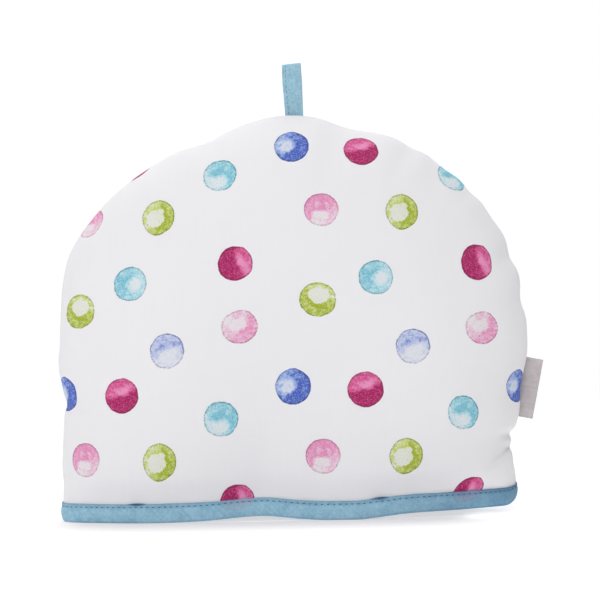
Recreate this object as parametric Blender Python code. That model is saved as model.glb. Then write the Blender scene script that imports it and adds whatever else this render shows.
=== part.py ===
"""A padded tea cosy: two wadded cotton panels seamed together round a dome, with a bound open hem to
stand on, a folded tape loop in the crown of the seam and a folded woven tab in the seam on the right.

It stands on its hem at Z = 0. X runs to the right, the front panel faces -Y, and the origin is under the
middle of the whole. Tables and sizes are in millimetres, and MM turns them into Blender's metres."""

import math
from bisect import bisect
from collections import namedtuple

import bmesh
import bpy
from mathutils import Vector

MM = 0.001

# ---- the dome's outline, seen from the front ----
BODY_SHIFT = -8.2  # the tab stands out on the right, so the dome's own middle is left of the origin
OutlineRow = namedtuple("OutlineRow", "angle reach")
OUTLINE = [  # angle from the left hem corner over the crown; reach from the middle of the hem
    OutlineRow(0, 151.5),
    OutlineRow(10, 156),
    OutlineRow(20, 161.5),
    OutlineRow(30, 174),
    OutlineRow(40, 199),
    OutlineRow(50, 227),
    OutlineRow(60, 243),
    OutlineRow(70, 252.5),
    OutlineRow(80, 260),
    OutlineRow(90, 268),
    OutlineRow(100, 264.5),
    OutlineRow(110, 260),
    OutlineRow(120, 250),
    OutlineRow(130, 232.5),
    OutlineRow(140, 208.5),
    OutlineRow(150, 183.5),
    OutlineRow(160, 162.5),
    OutlineRow(170, 154),
    OutlineRow(180, 153),
]

# ---- the section of a wadded panel, from the seam inwards ----
SEAM_SINK = 4.5  # the seam lies this far inside the crest of the rolled edge
ROLL_DEPTH = 5.0  # from the seam's plane out to that crest
SHOULDER_REACH, SHOULDER_DEPTH = 20.0, 10.0  # the round shoulder behind the rolled edge
BELLY_DEPTH = 30.0  # what the dome's own curve adds, from the shoulder to the middle
SEAM_LAND = 4.5  # how far the two panels lie face to face inside the seam
INNER_REACH, INNER_SHOULDER, INNER_BELLY = 16.0, 7.0, 27.0  # the same curve on the panel's inside
SEAM_HALF_GAP = 0.15  # half of what parts the two panels

# ---- the hem, squeezed flat under its binding ----
HEM_ENDS = (-154.0, 153.0)  # the crest line is upright here, as high as the binding
HEM_THICK = 4.5
HEM_FOOT = 1.3  # where the panels' lower edge lies, on the floor of the binding
BINDING_HEIGHT = 12.5
PUFF_RISE = 18.0  # above the binding, the wadding is back to its full thickness in this height
HEM_DRAW_DEPTH, HEM_DRAW_END = 3.2, 1.5  # the binding draws the panels in, at the face and at the ends
HEM_LIFT_FADE, HEM_WAVE_FADE = 60.0, 75.0  # heights at which the hem's lift and waves have died out
WAVE_DEPTH = 20.0  # the waves move what is at least this far from the seam's plane

WaveRow = namedtuple("WaveRow", "x outward lift")
FRONT_HEM = [  # the hem's plan wave and its rise off the table, from the left to the right
    WaveRow(-152, 0, 0),
    WaveRow(-96, 3, 0),
    WaveRow(-58, 0, 0.9),
    WaveRow(-20, -5, 3.2),
    WaveRow(6, -2, 1.0),
    WaveRow(22, 0, 0),
    WaveRow(44, 2, 0),
    WaveRow(76, 0, 3.0),
    WaveRow(110, -2, 4.0),
    WaveRow(143, -1, 6.0),
]
BACK_HEM = [
    WaveRow(-152, 0, 0),
    WaveRow(-92, -2, 0),
    WaveRow(-45, 3, 0),
    WaveRow(14, -3, 1.4),
    WaveRow(56, 3, 0),
    WaveRow(98, 0, 0),
    WaveRow(124, 0, 3.4),
    WaveRow(143, -1, 6.0),
]

# ---- where the sewing draws the edge in, and how the wadding lies ----
PUCKER_DEPTH_SHARE = 0.7  # a pucker sinks into the face by this share of what it draws the edge in
Pucker = namedtuple("Pucker", "angle depth half_width reach")
PUCKERS = [  # angle on the outline; the fold's depth at the edge, half its width, and how far it runs in
    Pucker(9, 1.6, 12, 30),
    Pucker(22, 3.2, 13, 36),
    Pucker(38, 1.4, 12, 30),
    Pucker(51, 1.6, 14, 28),
    Pucker(64, 1.6, 13, 30),
    Pucker(78, 3.0, 15, 34),
    Pucker(97, 1.2, 13, 26),
    Pucker(110, 1.8, 14, 32),
    Pucker(124, 1.4, 13, 28),
    Pucker(135, 2.6, 13, 36),
    Pucker(143, 2.4, 12, 34),
    Pucker(160, 4.4, 11, 44),
    Pucker(168, 1.8, 12, 34),
]

CREASE_FADE = 0.7  # how much shallower a crease is at its second point
Crease = namedtuple("Crease", "x0 z0 x1 z1 depth half_width")
FRONT_CREASES = [  # soft troughs in the face, each from one point to another
    Crease(150, 48, 116, 28, 3.4, 8),
    Crease(-14, 10, -20, 46, 2.4, 9),
    Crease(12, 10, 16, 40, 1.6, 9),
    Crease(-62, 258, -50, 200, 1.4, 13),
    Crease(-146, 62, -108, 66, 2.2, 10),
    Crease(86, 10, 92, 44, 1.6, 11),
]
BACK_CREASES = [
    Crease(148, 46, 112, 36, 3.0, 9),
    Crease(14, 10, 6, 52, 2.6, 10),
    Crease(-96, 10, -88, 44, 1.8, 11),
    Crease(-144, 66, -104, 58, 2.4, 11),
    Crease(52, 256, 40, 206, 1.6, 13),
]

Swell = namedtuple("Swell", "x z height radius")
FRONT_SWELLS = [  # where the wadding stands a little proud, or is a little thin
    Swell(-70, 150, 1.6, 60),
    Swell(60, 190, 1.4, 55),
    Swell(20, 90, -1.6, 60),
    Swell(104, 110, 1.8, 45),
    Swell(-100, 60, 1.2, 45),
]
BACK_SWELLS = [
    Swell(70, 140, 1.8, 60),
    Swell(-50, 196, 1.4, 55),
    Swell(-20, 84, -1.8, 60),
    Swell(-104, 104, 1.6, 45),
    Swell(96, 56, 1.4, 45),
]

# ---- the loop of tape in the crown ----
LOOP_X = 6.9  # from the dome's own middle
LOOP_WIDTH, TAPE_THICK = 12.7, 1.4
LOOP_LEAN, LOOP_SLANT = -0.035, 0.085  # sideways per height, and the tilt of its folded top
LoopRow = namedtuple("LoopRow", "rise half_gap width_share")
LOOP_SIDE = [  # one leg, from its sewn end to the top of the fold; half_gap is to the tape's middle
    LoopRow(-8, 0.85, 0.94),
    LoopRow(-1, 0.85, 0.94),
    LoopRow(4, 1.2, 0.95),
    LoopRow(9, 2.2, 0.98),
    LoopRow(14, 3.4, 1.0),
    LoopRow(19, 4.3, 1.02),
    LoopRow(24, 4.7, 1.02),
    LoopRow(28, 4.5, 1.01),
    LoopRow(31.4, 3.6, 1.0),
    LoopRow(33.6, 2.0, 1.0),
    LoopRow(34.4, 0.0, 1.0),
]
LOOP_PART, LOOP_PART_MARGIN = 1.9, 4.0  # half the seam's gap at the tape, and how far it goes on past it
PART_FADE = 12.0  # along the seam, from there to where it is closed

# ---- the tab in the right side seam ----
TAB_ANGLE = 153.0  # where its middle lies on the outline
TAB_FOOT = Vector((162.2, 61.6))  # the lower end of its folded edge, from the dome's own middle
TAB_HEAD = Vector((170.4, 101.0))
TAB_WIDTH = 17.0  # from the fold to the ends sewn into the seam
TAB_LENGTH = (TAB_HEAD - TAB_FOOT).length
TAB_LAYER, TAB_HALF_GAP = 0.5, 0.42  # one layer's thickness, and from the fold's plane to its middle
TAB_FOLD = 0.6  # the fold takes up this much of its width
TAB_PART, TAB_PART_MARGIN = 1.0, 8.0

# ---- how finely the surfaces are divided ----
HEM_RISES = [HEM_FOOT, 6.5, BINDING_HEIGHT, 15.0, 19.0, 25.0, 33.0]
SEAM_STEPS = 68  # between the last of those rises on the left and on the right
ROLL_TURNS = [0, 45]  # degrees round the rolled edge, from the seam
MIDDLE_ROWS = [0.18, 0.25, 0.335, 0.43, 0.53, 0.625, 0.72, 0.815, 0.908, 1]  # shares of the way in
FACE_ROWS = [0, 0.015, 0.04, 0.075, 0.12] + MIDDLE_ROWS
INSIDE_ROWS = [0, 0.002, 0.008, 0.022, 0.045, 0.08, 0.125] + MIDDLE_ROWS  # as many as outside
SPINE_TOP = 140.0  # every row runs in to an upright middle line, which ends below this height

BindingPoint = namedtuple("BindingPoint", "out up")
BINDING_SECTION = [  # the tape folded round the hem: out from the panel's face, and up from the table
    BindingPoint(1.15, BINDING_HEIGHT),
    BindingPoint(1.45, 9.0),
    BindingPoint(1.5, 5.0),
    BindingPoint(1.3, 1.6),
    BindingPoint(0.7, 0.35),
    BindingPoint(-0.3, 0.0),
    BindingPoint(-4.2, 0.0),
    BindingPoint(-5.2, 0.35),
    BindingPoint(-5.8, 1.6),
    BindingPoint(-6.0, 5.0),
    BindingPoint(-5.95, 9.0),
    BindingPoint(-5.65, BINDING_HEIGHT),
    BindingPoint(-4.8, BINDING_HEIGHT),
    BindingPoint(-4.8, 1.0),
    BindingPoint(0.3, 1.0),
    BindingPoint(0.3, BINDING_HEIGHT),
]


def clear_scene():
    for obj in list(bpy.data.objects):
        bpy.data.objects.remove(obj)


def cloth(name, colour, roughness):
    """A plain material for one kind of cloth."""
    material = bpy.data.materials.new(name)
    material.use_nodes = True
    shader = material.node_tree.nodes["Principled BSDF"]
    shader.inputs["Base Color"].default_value = (*colour, 1)
    shader.inputs["Roughness"].default_value = roughness
    shader.inputs["Metallic"].default_value = 0
    return material


def add_object(name, bm, material):
    bmesh.ops.recalc_face_normals(bm, faces=bm.faces)
    mesh = bpy.data.meshes.new(name)
    bm.to_mesh(mesh)
    bm.free()
    mesh.materials.append(material)
    mesh.shade_smooth()
    mesh.set_sharp_from_angle(angle=math.radians(40))
    obj = bpy.data.objects.new(name, mesh)
    bpy.context.scene.collection.objects.link(obj)
    return obj


def smooth(share):
    """An eased step: 0 below 0, 1 above 1."""
    share = min(max(share, 0.0), 1.0)
    return share * share * (3 - 2 * share)


def bump(offset, half_width):
    return math.exp(-((offset / half_width) ** 2))


def read_table(rows, place, column):
    """A smooth curve through one column of a table, whose first column is the place."""
    place = min(max(place, rows[0][0]), rows[-1][0])
    k = max(i for i in range(len(rows) - 1) if rows[i][0] <= place)

    def slope(i):
        low, high = rows[max(i - 1, 0)], rows[min(i + 1, len(rows) - 1)]
        return (getattr(high, column) - getattr(low, column)) / (high[0] - low[0])

    step = rows[k + 1][0] - rows[k][0]
    t = (place - rows[k][0]) / step
    start, end = getattr(rows[k], column), getattr(rows[k + 1], column)
    return (
        start * (2 * t**3 - 3 * t**2 + 1)
        + end * (3 * t**2 - 2 * t**3)
        + step * (slope(k) * (t**3 - 2 * t**2 + t) + slope(k + 1) * (t**3 - t**2))
    )


def outline_at(angle):
    """The crest line of the dome's edge, as X and height."""
    reach = read_table(OUTLINE, angle, "reach")
    turn = math.radians(180 - angle)
    x, z = reach * math.cos(turn), reach * math.sin(turn)
    end = HEM_ENDS[0] if x < 0 else HEM_ENDS[1]
    return Vector((end + (x - end) * smooth((z - BINDING_HEIGHT) / PUFF_RISE), z))


class Outline:
    """The dome's edge measured along its length, from the left hem corner to the right one."""

    STEPS = 720

    def __init__(self):
        self.angles = [180 * k / self.STEPS for k in range(self.STEPS + 1)]
        self.points = [outline_at(angle) for angle in self.angles]
        self.along = [0.0]
        for a, b in zip(self.points, self.points[1:]):
            self.along.append(self.along[-1] + (b - a).length)
        self.length = self.along[-1]

    def at(self, distance):
        k = min(bisect(self.along, distance), self.STEPS) - 1
        share = (distance - self.along[k]) / (self.along[k + 1] - self.along[k])
        return self.points[k].lerp(self.points[k + 1], share)

    def distance_of(self, angle):
        k = min(int(angle / 180 * self.STEPS), self.STEPS - 1)
        share = angle / 180 * self.STEPS - k
        return self.along[k] + share * (self.along[k + 1] - self.along[k])

    def nearest_x(self, x):
        """The distance of the upper edge's point at this X."""
        upper = [k for k in range(self.STEPS) if 60 < self.angles[k] < 120]
        return self.along[min(upper, key=lambda k: abs(self.points[k].x - x))]


OUTLINE_CURVE = Outline()
LOOP_PLACE = OUTLINE_CURVE.nearest_x(LOOP_X)
TAB_PLACE = OUTLINE_CURVE.distance_of(TAB_ANGLE)


def seam_stations():
    """Distances along the outline: close together at both hem corners, even round the rest."""
    length = OUTLINE_CURVE.length
    last = HEM_RISES[-1]
    middle = [last + (length - 2 * last) * k / SEAM_STEPS for k in range(1, SEAM_STEPS)]
    return HEM_RISES + middle + [length - rise for rise in reversed(HEM_RISES)]


def seam_half_gap(place):
    """The seam is closed, but for where the loop's tape and the tab are sewn into it."""
    loop_end, tab_end = LOOP_WIDTH / 2 + LOOP_PART_MARGIN, TAB_LENGTH / 2 + TAB_PART_MARGIN
    loop = smooth(1 - (abs(place - LOOP_PLACE) - loop_end) / PART_FADE)
    tab = smooth(1 - (abs(place - TAB_PLACE) - tab_end) / PART_FADE)
    return SEAM_HALF_GAP + (LOOP_PART - SEAM_HALF_GAP) * loop + (TAB_PART - SEAM_HALF_GAP) * tab


def pucker_pull(place, reach_in):
    """How far the sewing draws the edge in at one place, fading towards the middle of the panel."""
    return sum(
        fold.depth
        * bump(place - OUTLINE_CURVE.distance_of(fold.angle), fold.half_width)
        * bump(reach_in, fold.reach)
        for fold in PUCKERS
    )


def crease_depth(creases, x, z):
    """How deep the face lies in its soft troughs at one point. A trough dies out at both ends."""
    total = 0.0
    for crease in creases:
        start, end = Vector((crease.x0, crease.z0)), Vector((crease.x1, crease.z1))
        run = end - start
        share = (Vector((x, z)) - start).dot(run) / run.length_squared
        held = min(max(share, 0.0), 1.0)
        off = (Vector((x, z)) - start - run * held).length
        total += crease.depth * bump(off, crease.half_width) * (1 - CREASE_FADE * held)
    return total


def swell_height(swells, x, z):
    return sum(s.height * bump(math.hypot(x - s.x, z - s.z), s.radius) for s in swells)


def squeeze(rise):
    """1 under the binding, 0 where the wadding is at its full thickness."""
    return 1 - smooth((rise - BINDING_HEIGHT) / PUFF_RISE)


def hem_wave(side, x, z):
    """How far the hem wanders outward, and how far it lifts, at one point of the front or the back."""
    rows = FRONT_HEM if side < 0 else BACK_HEM
    outward = read_table(rows, x, "outward") * bump(z, HEM_WAVE_FADE)
    lift = max(read_table(rows, x, "lift"), 0.0) * smooth(1 - z / HEM_LIFT_FADE)
    return outward, lift


def outer_section(place, rise, reach):
    """One row of the panel's outside, from the seam to the middle line, as (distance in, depth)."""
    squeezed = squeeze(rise)
    gap = seam_half_gap(place)
    points = []
    for turn in ROLL_TURNS:
        inward = SEAM_SINK * (1 - squeezed) * (1 - math.sin(math.radians(turn)))
        depth = gap + (ROLL_DEPTH - gap) * (1 - math.cos(math.radians(turn)))
        points.append(Vector((inward, depth)))
    for share in FACE_ROWS:
        inward = share * reach
        lip = 1 - min(inward / SHOULDER_REACH, 1)
        depth = ROLL_DEPTH + SHOULDER_DEPTH * math.sqrt(1 - lip**2)
        depth += BELLY_DEPTH * (1 - (1 - share) ** 3)
        depth -= PUCKER_DEPTH_SHARE * pucker_pull(place, inward) * (1 - squeezed)
        depth -= HEM_DRAW_DEPTH * squeezed * smooth(inward / SHOULDER_REACH)
        points.append(Vector((inward, depth)))
    for point in points:
        pull = pucker_pull(place, point.x) * (1 - squeezed)
        point.x += pull + HEM_DRAW_END * squeezed * bump(point.x, SHOULDER_REACH)
    return points


def offset_inwards(points, thickness):
    """The same row moved in by the cloth's thickness, square to itself."""
    moved = []
    for k, point in enumerate(points):
        run = points[min(k + 1, len(points) - 1)] - points[max(k - 1, 0)]
        if k == 0:  # square to the seam's plane
            run = Vector((0, 1))
        elif k == len(points) - 1:  # square to the middle line
            run = Vector((1, 0))
        run.normalize()
        moved.append(point + thickness * Vector((run.y, -run.x)))
    return moved


def inner_section(place, rise, reach, outer):
    """The same row on the panel's inside: full wadding above, a squeezed sheet under the binding."""
    squeezed = squeeze(rise)
    start = SEAM_SINK + SEAM_LAND
    points = []
    for share, squeezed_point in zip(INSIDE_ROWS, offset_inwards(outer, HEM_THICK)):
        inward = share * (reach - start)
        lip = 1 - min(inward / INNER_REACH, 1)
        depth = seam_half_gap(place) + INNER_SHOULDER * math.sqrt(1 - lip**2)
        depth += INNER_BELLY * (1 - (1 - share) ** 3)
        full = Vector((start + inward, depth))
        points.append(full.lerp(squeezed_point, squeezed))
    return points


def place_row(side, distance, spine_height, points, face):
    """Turns a row of (distance in, depth) into points in space. face adds creases and swells."""
    edge = OUTLINE_CURVE.at(distance)
    direction = (Vector((0, spine_height)) - edge).normalized()
    placed = []
    for point in points:
        x, z = edge + direction * point.x
        depth = point.y
        if face:
            creases = FRONT_CREASES if side < 0 else BACK_CREASES
            swells = FRONT_SWELLS if side < 0 else BACK_SWELLS
            free = smooth((depth - ROLL_DEPTH) / SHOULDER_REACH) * (1 - squeeze(z))
            depth += (swell_height(swells, x, z) - crease_depth(creases, x, z)) * free
        outward, lift = hem_wave(side, x, z)
        depth += outward * smooth(depth / WAVE_DEPTH)
        placed.append(Vector((x + BODY_SHIFT, side * depth, z + lift)) * MM)
    return placed


def panel_rows(side):
    """The outside and the inside of one panel, as rows of points from the seam to the middle line."""
    stations = seam_stations()
    outer_rows, inner_rows = [], []
    for distance in stations:
        rise = min(distance, OUTLINE_CURVE.length - distance)
        spine_height = rise / math.sqrt(1 + (rise / SPINE_TOP) ** 2)
        reach = (Vector((0, spine_height)) - OUTLINE_CURVE.at(distance)).length
        outer = outer_section(distance, rise, reach)
        inner = inner_section(distance, rise, reach, outer)
        outer_rows.append(place_row(side, distance, spine_height, outer, face=True))
        inner_rows.append(place_row(side, distance, spine_height, inner, face=False))
    return outer_rows, inner_rows


def grid_verts(bm, rows):
    """Vertices for every point. The rows from the left and the right share those on the middle line."""
    last = len(rows) - 1
    verts = []
    for k, row in enumerate(rows):
        shared = [verts[last - k][-1]] if k > last - k else [bm.verts.new(row[-1])]
        verts.append([bm.verts.new(point) for point in row[:-1]] + shared)
    return verts


def fill_between(bm, first, second):
    """Faces between two lines of vertices, leaving out any that have no area."""
    for k in range(len(first) - 1):
        corners = [first[k], first[k + 1], second[k + 1], second[k]]
        distinct = [v for i, v in enumerate(corners) if v not in corners[:i]]
        if len(distinct) > 2:
            bm.faces.new(distinct)


def make_panel(name, side, material):
    bm = bmesh.new()
    outer_rows, inner_rows = panel_rows(side)
    outer, inner = grid_verts(bm, outer_rows), grid_verts(bm, inner_rows)
    for grid in (outer, inner):
        for first, second in zip(grid, grid[1:]):
            fill_between(bm, first, second)
    fill_between(bm, [row[0] for row in outer], [row[0] for row in inner])
    for end in (0, -1):
        fill_between(bm, outer[end], inner[end])
    return add_object(name, bm, material)


def hem_half(side):
    """One panel's outer face at the hem, in plan, from its left end to its right one, without its waves."""
    ends = []
    for distance in (HEM_FOOT, OUTLINE_CURVE.length - HEM_FOOT):
        edge = OUTLINE_CURVE.at(distance)
        inward = 1 if edge.x < 0 else -1
        row = outer_section(distance, HEM_FOOT, abs(edge.x))
        row[0].y = 0.0  # the binding runs on across the seam
        ends.append([Vector((edge.x + inward * point.x, side * point.y)) for point in row])
    left, right = ends
    return left + right[-2::-1]


def hem_line():
    """The line that the binding follows round both panels, as (point, outward normal, side)."""
    front, back = hem_half(-1), hem_half(1)
    points = front + back[-2:0:-1]
    stations = []
    for k, point in enumerate(points):
        run = points[(k + 1) % len(points)] - points[k - 1]
        side = -1 if k < len(front) else 1
        stations.append((point, Vector((run.y, -run.x)).normalized(), side))
    return stations


def make_binding(material):
    bm = bmesh.new()
    rings = []
    for point, normal, side in hem_line():
        ring = []
        for corner in BINDING_SECTION:
            x, y = point + normal * corner.out
            outward, lift = hem_wave(side, x, corner.up)
            y += side * outward * smooth(abs(y) / WAVE_DEPTH)
            ring.append(bm.verts.new(Vector((x + BODY_SHIFT, y, corner.up + lift)) * MM))
        rings.append(ring)
    for first, second in zip(rings, rings[1:] + rings[:1]):
        fill_between(bm, first + first[:1], second + second[:1])
    return add_object("hem_binding", bm, material)


def add_thickness(obj, thickness):
    modifier = obj.modifiers.new("cloth thickness", "SOLIDIFY")
    modifier.thickness = thickness * MM
    modifier.offset = 0
    modifier.use_even_offset = True


def make_strip(name, lines, material, thickness):
    """A strip of tape through lines of points laid across it, with an even thickness."""
    bm = bmesh.new()
    verts = [[bm.verts.new(point * MM) for point in line] for line in lines]
    for first, second in zip(verts, verts[1:]):
        fill_between(bm, first, second)
    obj = add_object(name, bm, material)
    add_thickness(obj, thickness)
    return obj


def make_loop(material):
    """A length of tape folded in half, its two ends sewn in side by side."""
    crest = OUTLINE_CURVE.at(LOOP_PLACE).y
    legs = [(row, -1) for row in LOOP_SIDE] + [(row, 1) for row in reversed(LOOP_SIDE[:-1])]
    lines = []
    for row, side in legs:
        line = []
        for across in (-0.5, 0, 0.5):
            offset = across * LOOP_WIDTH * row.width_share
            x = LOOP_X + BODY_SHIFT + offset + LOOP_LEAN * row.rise
            slant = LOOP_SLANT * offset * smooth(row.rise / LOOP_SIDE[-1].rise)
            line.append(Vector((x, side * row.half_gap, crest + row.rise + slant)))
        lines.append(line)
    return make_strip("hanging_loop", lines, material, TAPE_THICK)


def make_tab(material):
    """A woven tape folded once, its fold standing out of the side seam and its ends sewn in."""
    run = TAB_HEAD - TAB_FOOT
    inward = Vector((-run.y, run.x)).normalized()
    layer = [(far, TAB_HALF_GAP) for far in (TAB_WIDTH, TAB_WIDTH / 2, TAB_FOLD)]
    fold = [(far, -depth) for far, depth in layer] + [(TAB_LAYER / 2, 0)]
    fold += [(far, depth) for far, depth in reversed(layer)]
    lines = []
    for far, depth in fold:
        line = []
        for share in (0, 0.5, 1):
            x, z = TAB_FOOT + run * share + inward * far
            line.append(Vector((x + BODY_SHIFT, depth, z)))
        lines.append(line)
    return make_strip("side_tab", lines, material, TAB_LAYER)


def main():
    clear_scene()
    printed_cotton = cloth("white printed cotton", (0.86, 0.86, 0.87), 0.9)
    blue_tape = cloth("light blue cotton tape", (0.31, 0.56, 0.70), 0.85)
    woven_tab = cloth("cream woven tape", (0.78, 0.74, 0.70), 0.8)
    make_panel("front_panel", -1, printed_cotton)
    make_panel("back_panel", 1, printed_cotton)
    make_binding(blue_tape)
    make_loop(blue_tape)
    make_tab(woven_tab)


main()
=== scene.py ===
"""The looks of a padded tea cosy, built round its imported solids: two wadded panels of printed cotton seamed
round a dome, a bias-bound hem with its top-stitching, a loop of tape at the crown and a blank woven tab.

X runs to the right, -Y to the front and Z up, and the hem stands at 0. Sizes are in millimetres, and MM
turns them into metres where a mesh or a material is made."""

import math
from collections import namedtuple

import bmesh
import bpy
import numpy as np
from mathutils import Matrix, Vector


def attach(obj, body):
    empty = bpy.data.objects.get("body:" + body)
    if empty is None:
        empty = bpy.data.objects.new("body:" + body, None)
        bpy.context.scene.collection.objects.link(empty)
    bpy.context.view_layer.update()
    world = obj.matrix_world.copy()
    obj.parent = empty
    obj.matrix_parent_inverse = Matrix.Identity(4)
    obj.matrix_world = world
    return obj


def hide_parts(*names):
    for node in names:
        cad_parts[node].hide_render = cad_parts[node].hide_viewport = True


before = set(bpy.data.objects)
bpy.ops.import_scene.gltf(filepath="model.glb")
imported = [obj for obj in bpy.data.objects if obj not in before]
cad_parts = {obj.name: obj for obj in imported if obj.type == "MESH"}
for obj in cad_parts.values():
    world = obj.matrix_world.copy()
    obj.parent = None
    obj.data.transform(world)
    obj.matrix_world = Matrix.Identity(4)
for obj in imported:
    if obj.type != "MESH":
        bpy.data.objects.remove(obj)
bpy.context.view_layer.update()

# ========================================
# The dome's edge. Both panels are cut to one half-moon and seamed together round it, wrong sides out,
# then turned. Standing, the edge is a dome on nearly upright sides, drawn in here and there by the
# sewing. What is sewn into the seam takes its place from a distance along this edge.
MM = 0.001
BODY_SHIFT = -8.2  # the tab stands out on the right, so the dome's own middle is left of the origin
BINDING_HEIGHT, PUFF_RISE = 12.5, 18.0  # the wadding swells to its full thickness over this rise
HEM_ENDS = (-154.0, 153.0)  # the edge is upright here, as high as the binding


def chart(columns, *rows):
    """A table given row by row: each row's values under the names of its columns."""
    row = namedtuple("Row", columns)
    return [row(*values) for values in rows]


EDGE = chart(  # angle from the left hem corner over the crown, and reach from the middle of the hem
    "angle reach",
    (0, 151.5), (10, 156), (20, 161.5), (30, 174), (40, 199), (50, 227), (60, 243), (70, 252.5),
    (80, 260), (90, 268), (100, 264.5), (110, 260), (120, 249.2), (130, 231.8), (140, 207.8),
    (150, 183.5), (160, 162.5), (170, 154), (180, 153),
)


def together(*values):
    """Values side by side, as the last axis of one array."""
    return np.stack(values, axis=-1)


def run_along(points):
    """The distance along a line to each of its points."""
    return np.append(0, np.cumsum(np.linalg.norm(np.diff(points, axis=0), axis=1)))


def unit(ways):
    """Directions, each made one long."""
    return ways / np.linalg.norm(ways, axis=-1, keepdims=True)


def smooth(share):
    """An eased step: 0 below 0, 1 above 1."""
    share = np.clip(share, 0.0, 1.0)
    return share * share * (3 - 2 * share)


def read_table(rows, place, column):
    """A smooth curve through one column of a table, whose first column is the place."""
    places = np.array([row[0] for row in rows], float)
    values = np.array([getattr(row, column) for row in rows], float)
    index = np.arange(len(rows))
    low, high = np.maximum(index - 1, 0), np.minimum(index + 1, len(rows) - 1)
    slopes = (values[high] - values[low]) / (places[high] - places[low])
    place = np.clip(place, places[0], places[-1])
    k = np.clip(np.searchsorted(places, place, side="right") - 1, 0, len(rows) - 2)
    step = places[k + 1] - places[k]
    t = (place - places[k]) / step
    return (
        values[k] * (2 * t**3 - 3 * t**2 + 1)
        + values[k + 1] * (3 * t**2 - 2 * t**3)
        + step * (slopes[k] * (t**3 - 2 * t**2 + t) + slopes[k + 1] * (t**3 - t**2))
    )


def edge_points(angles):
    """The edge's X and height at these angles."""
    reach = read_table(EDGE, angles, "reach")
    turn = np.radians(180 - angles)
    x, z = reach * np.cos(turn), reach * np.sin(turn)
    end = np.where(x < 0, HEM_ENDS[0], HEM_ENDS[1])
    return together(end + (x - end) * smooth((z - BINDING_HEIGHT) / PUFF_RISE), z)


EDGE_ANGLES = np.linspace(0, 180, 1441)
EDGE_LINE = edge_points(EDGE_ANGLES)
EDGE_ALONG = run_along(EDGE_LINE)
EDGE_LENGTH = EDGE_ALONG[-1]


def edge_at(distance):
    """X and height of the edge at a distance along it from the left hem corner."""
    return together(*(np.interp(distance, EDGE_ALONG, EDGE_LINE[:, i]) for i in (0, 1)))


# ========================================
# The front and the back panel. Each is a face of printed cotton, a layer of wadding and a plain cotton
# inside, sewn to the other panel round the dome. The seam draws in between two rolled edges, the face
# swells from them in a round shoulder, and the binding squeezes all the layers flat at the hem.
SEAM_SINK, ROLL_DEPTH = 4.5, 5.0  # the seam lies this far inside the rolled edge, whose crest is this deep
SHOULDER_REACH, SHOULDER_DEPTH = 20.0, 10.0
BELLY_DEPTH = 30.0
SEAM_LAND = 4.5  # how far the panels lie face to face inside the seam
INNER_REACH, INNER_SHOULDER, INNER_BELLY = 16.0, 7.0, 27.0
SEAM_HALF_GAP = 0.06
INNER_CROWDING = 1.7  # the inside's rows lie closer together near the seam, by this power
GATHERS = chart(  # where the face is eased onto the seam; each side of the cosy has its own seed
    "seed spacing height crest reach",
    (11, 6.5, 0.3, 5, 9), (21, 15, 0.5, 8, 20),
)
GATHER_DRAW, GATHER_DRAW_REACH = 0.5, 6.0  # a gather draws the roll in by this share of its height
FACE_RUMPLES = chart("seed spacing height", (31, 24, 0.22), (41, 9, 0.07))
RUMPLE_START = 900.0  # where along their ripples the faces' rumples start
HEM_THICK, HEM_FOOT = 4.5, 1.3
HEM_DRAW_DEPTH, HEM_DRAW_END = 3.2, 1.5
SPINE_TOP = 140.0  # every row of the cloth's grid runs in to an upright middle line below this height

# ---- how the hem stands: where it wanders outward, and where it is off the table ----
HEM_LIFT_FADE, HEM_WAVE_FADE, WAVE_DEPTH = 60.0, 75.0, 20.0
CORNER_STANDOFF, CORNER_FADE = 1.6, 20.0
LEFT_CORNER_ROUND, RIGHT_CORNER_ROUND = 6.0, 12.5  # each end's lower corner is rounded this much
RIGHT_DRAW, DRAW_FROM, DRAW_FADE = 2.2, 122.0, 60.0  # the right end is drawn in, most of all at the table

HEM_WAVE = "x outward lift"
FRONT_HEM = chart(
    HEM_WAVE,
    (-152, 0, 0), (-96, 3, 0), (-58, 0, 0.9), (-20, -5, 3.2), (6, -2, 1.0), (22, 0, 0), (44, 2, 0),
    (76, 0, 3.0), (110, -2, 4.0), (143, -1, 5.1),
)
BACK_HEM = chart(
    HEM_WAVE,
    (-152, 0, 0), (-92, -2, 0), (-45, 3, 0), (14, -3, 1.4), (56, 3, 0), (98, 0, 0), (124, 0, 3.4),
    (143, -1, 6.0),
)

# ---- where the sewing draws the edge in, by the angle over the crown ----
PUCKER_DEPTH_SHARE = 0.25
PUCKERS = chart(  # one below nothing is a place where the edge is let out
    "angle depth half_width reach",
    (9, 1.6, 12, 30), (27.5, 1.8, 5, 18), (34, -2.2, 12, 26), (51, -1.0, 14, 28), (78, 2.4, 15, 34),
    (100, 2.6, 18, 28), (109, 1.6, 8, 28), (114.5, 2.2, 12, 32), (120, 2.0, 9, 28), (125, 1.4, 11, 28),
    (131.5, 2.6, 9, 30), (138.2, 2.6, 10, 30), (143.5, 0.8, 9, 30), (151.8, 3.6, 17, 30),
    (161, 2.4, 2.8, 9), (162, 3.6, 12, 44), (164.3, 1.4, 2.8, 10), (168, 1.8, 12, 34),
)

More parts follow.
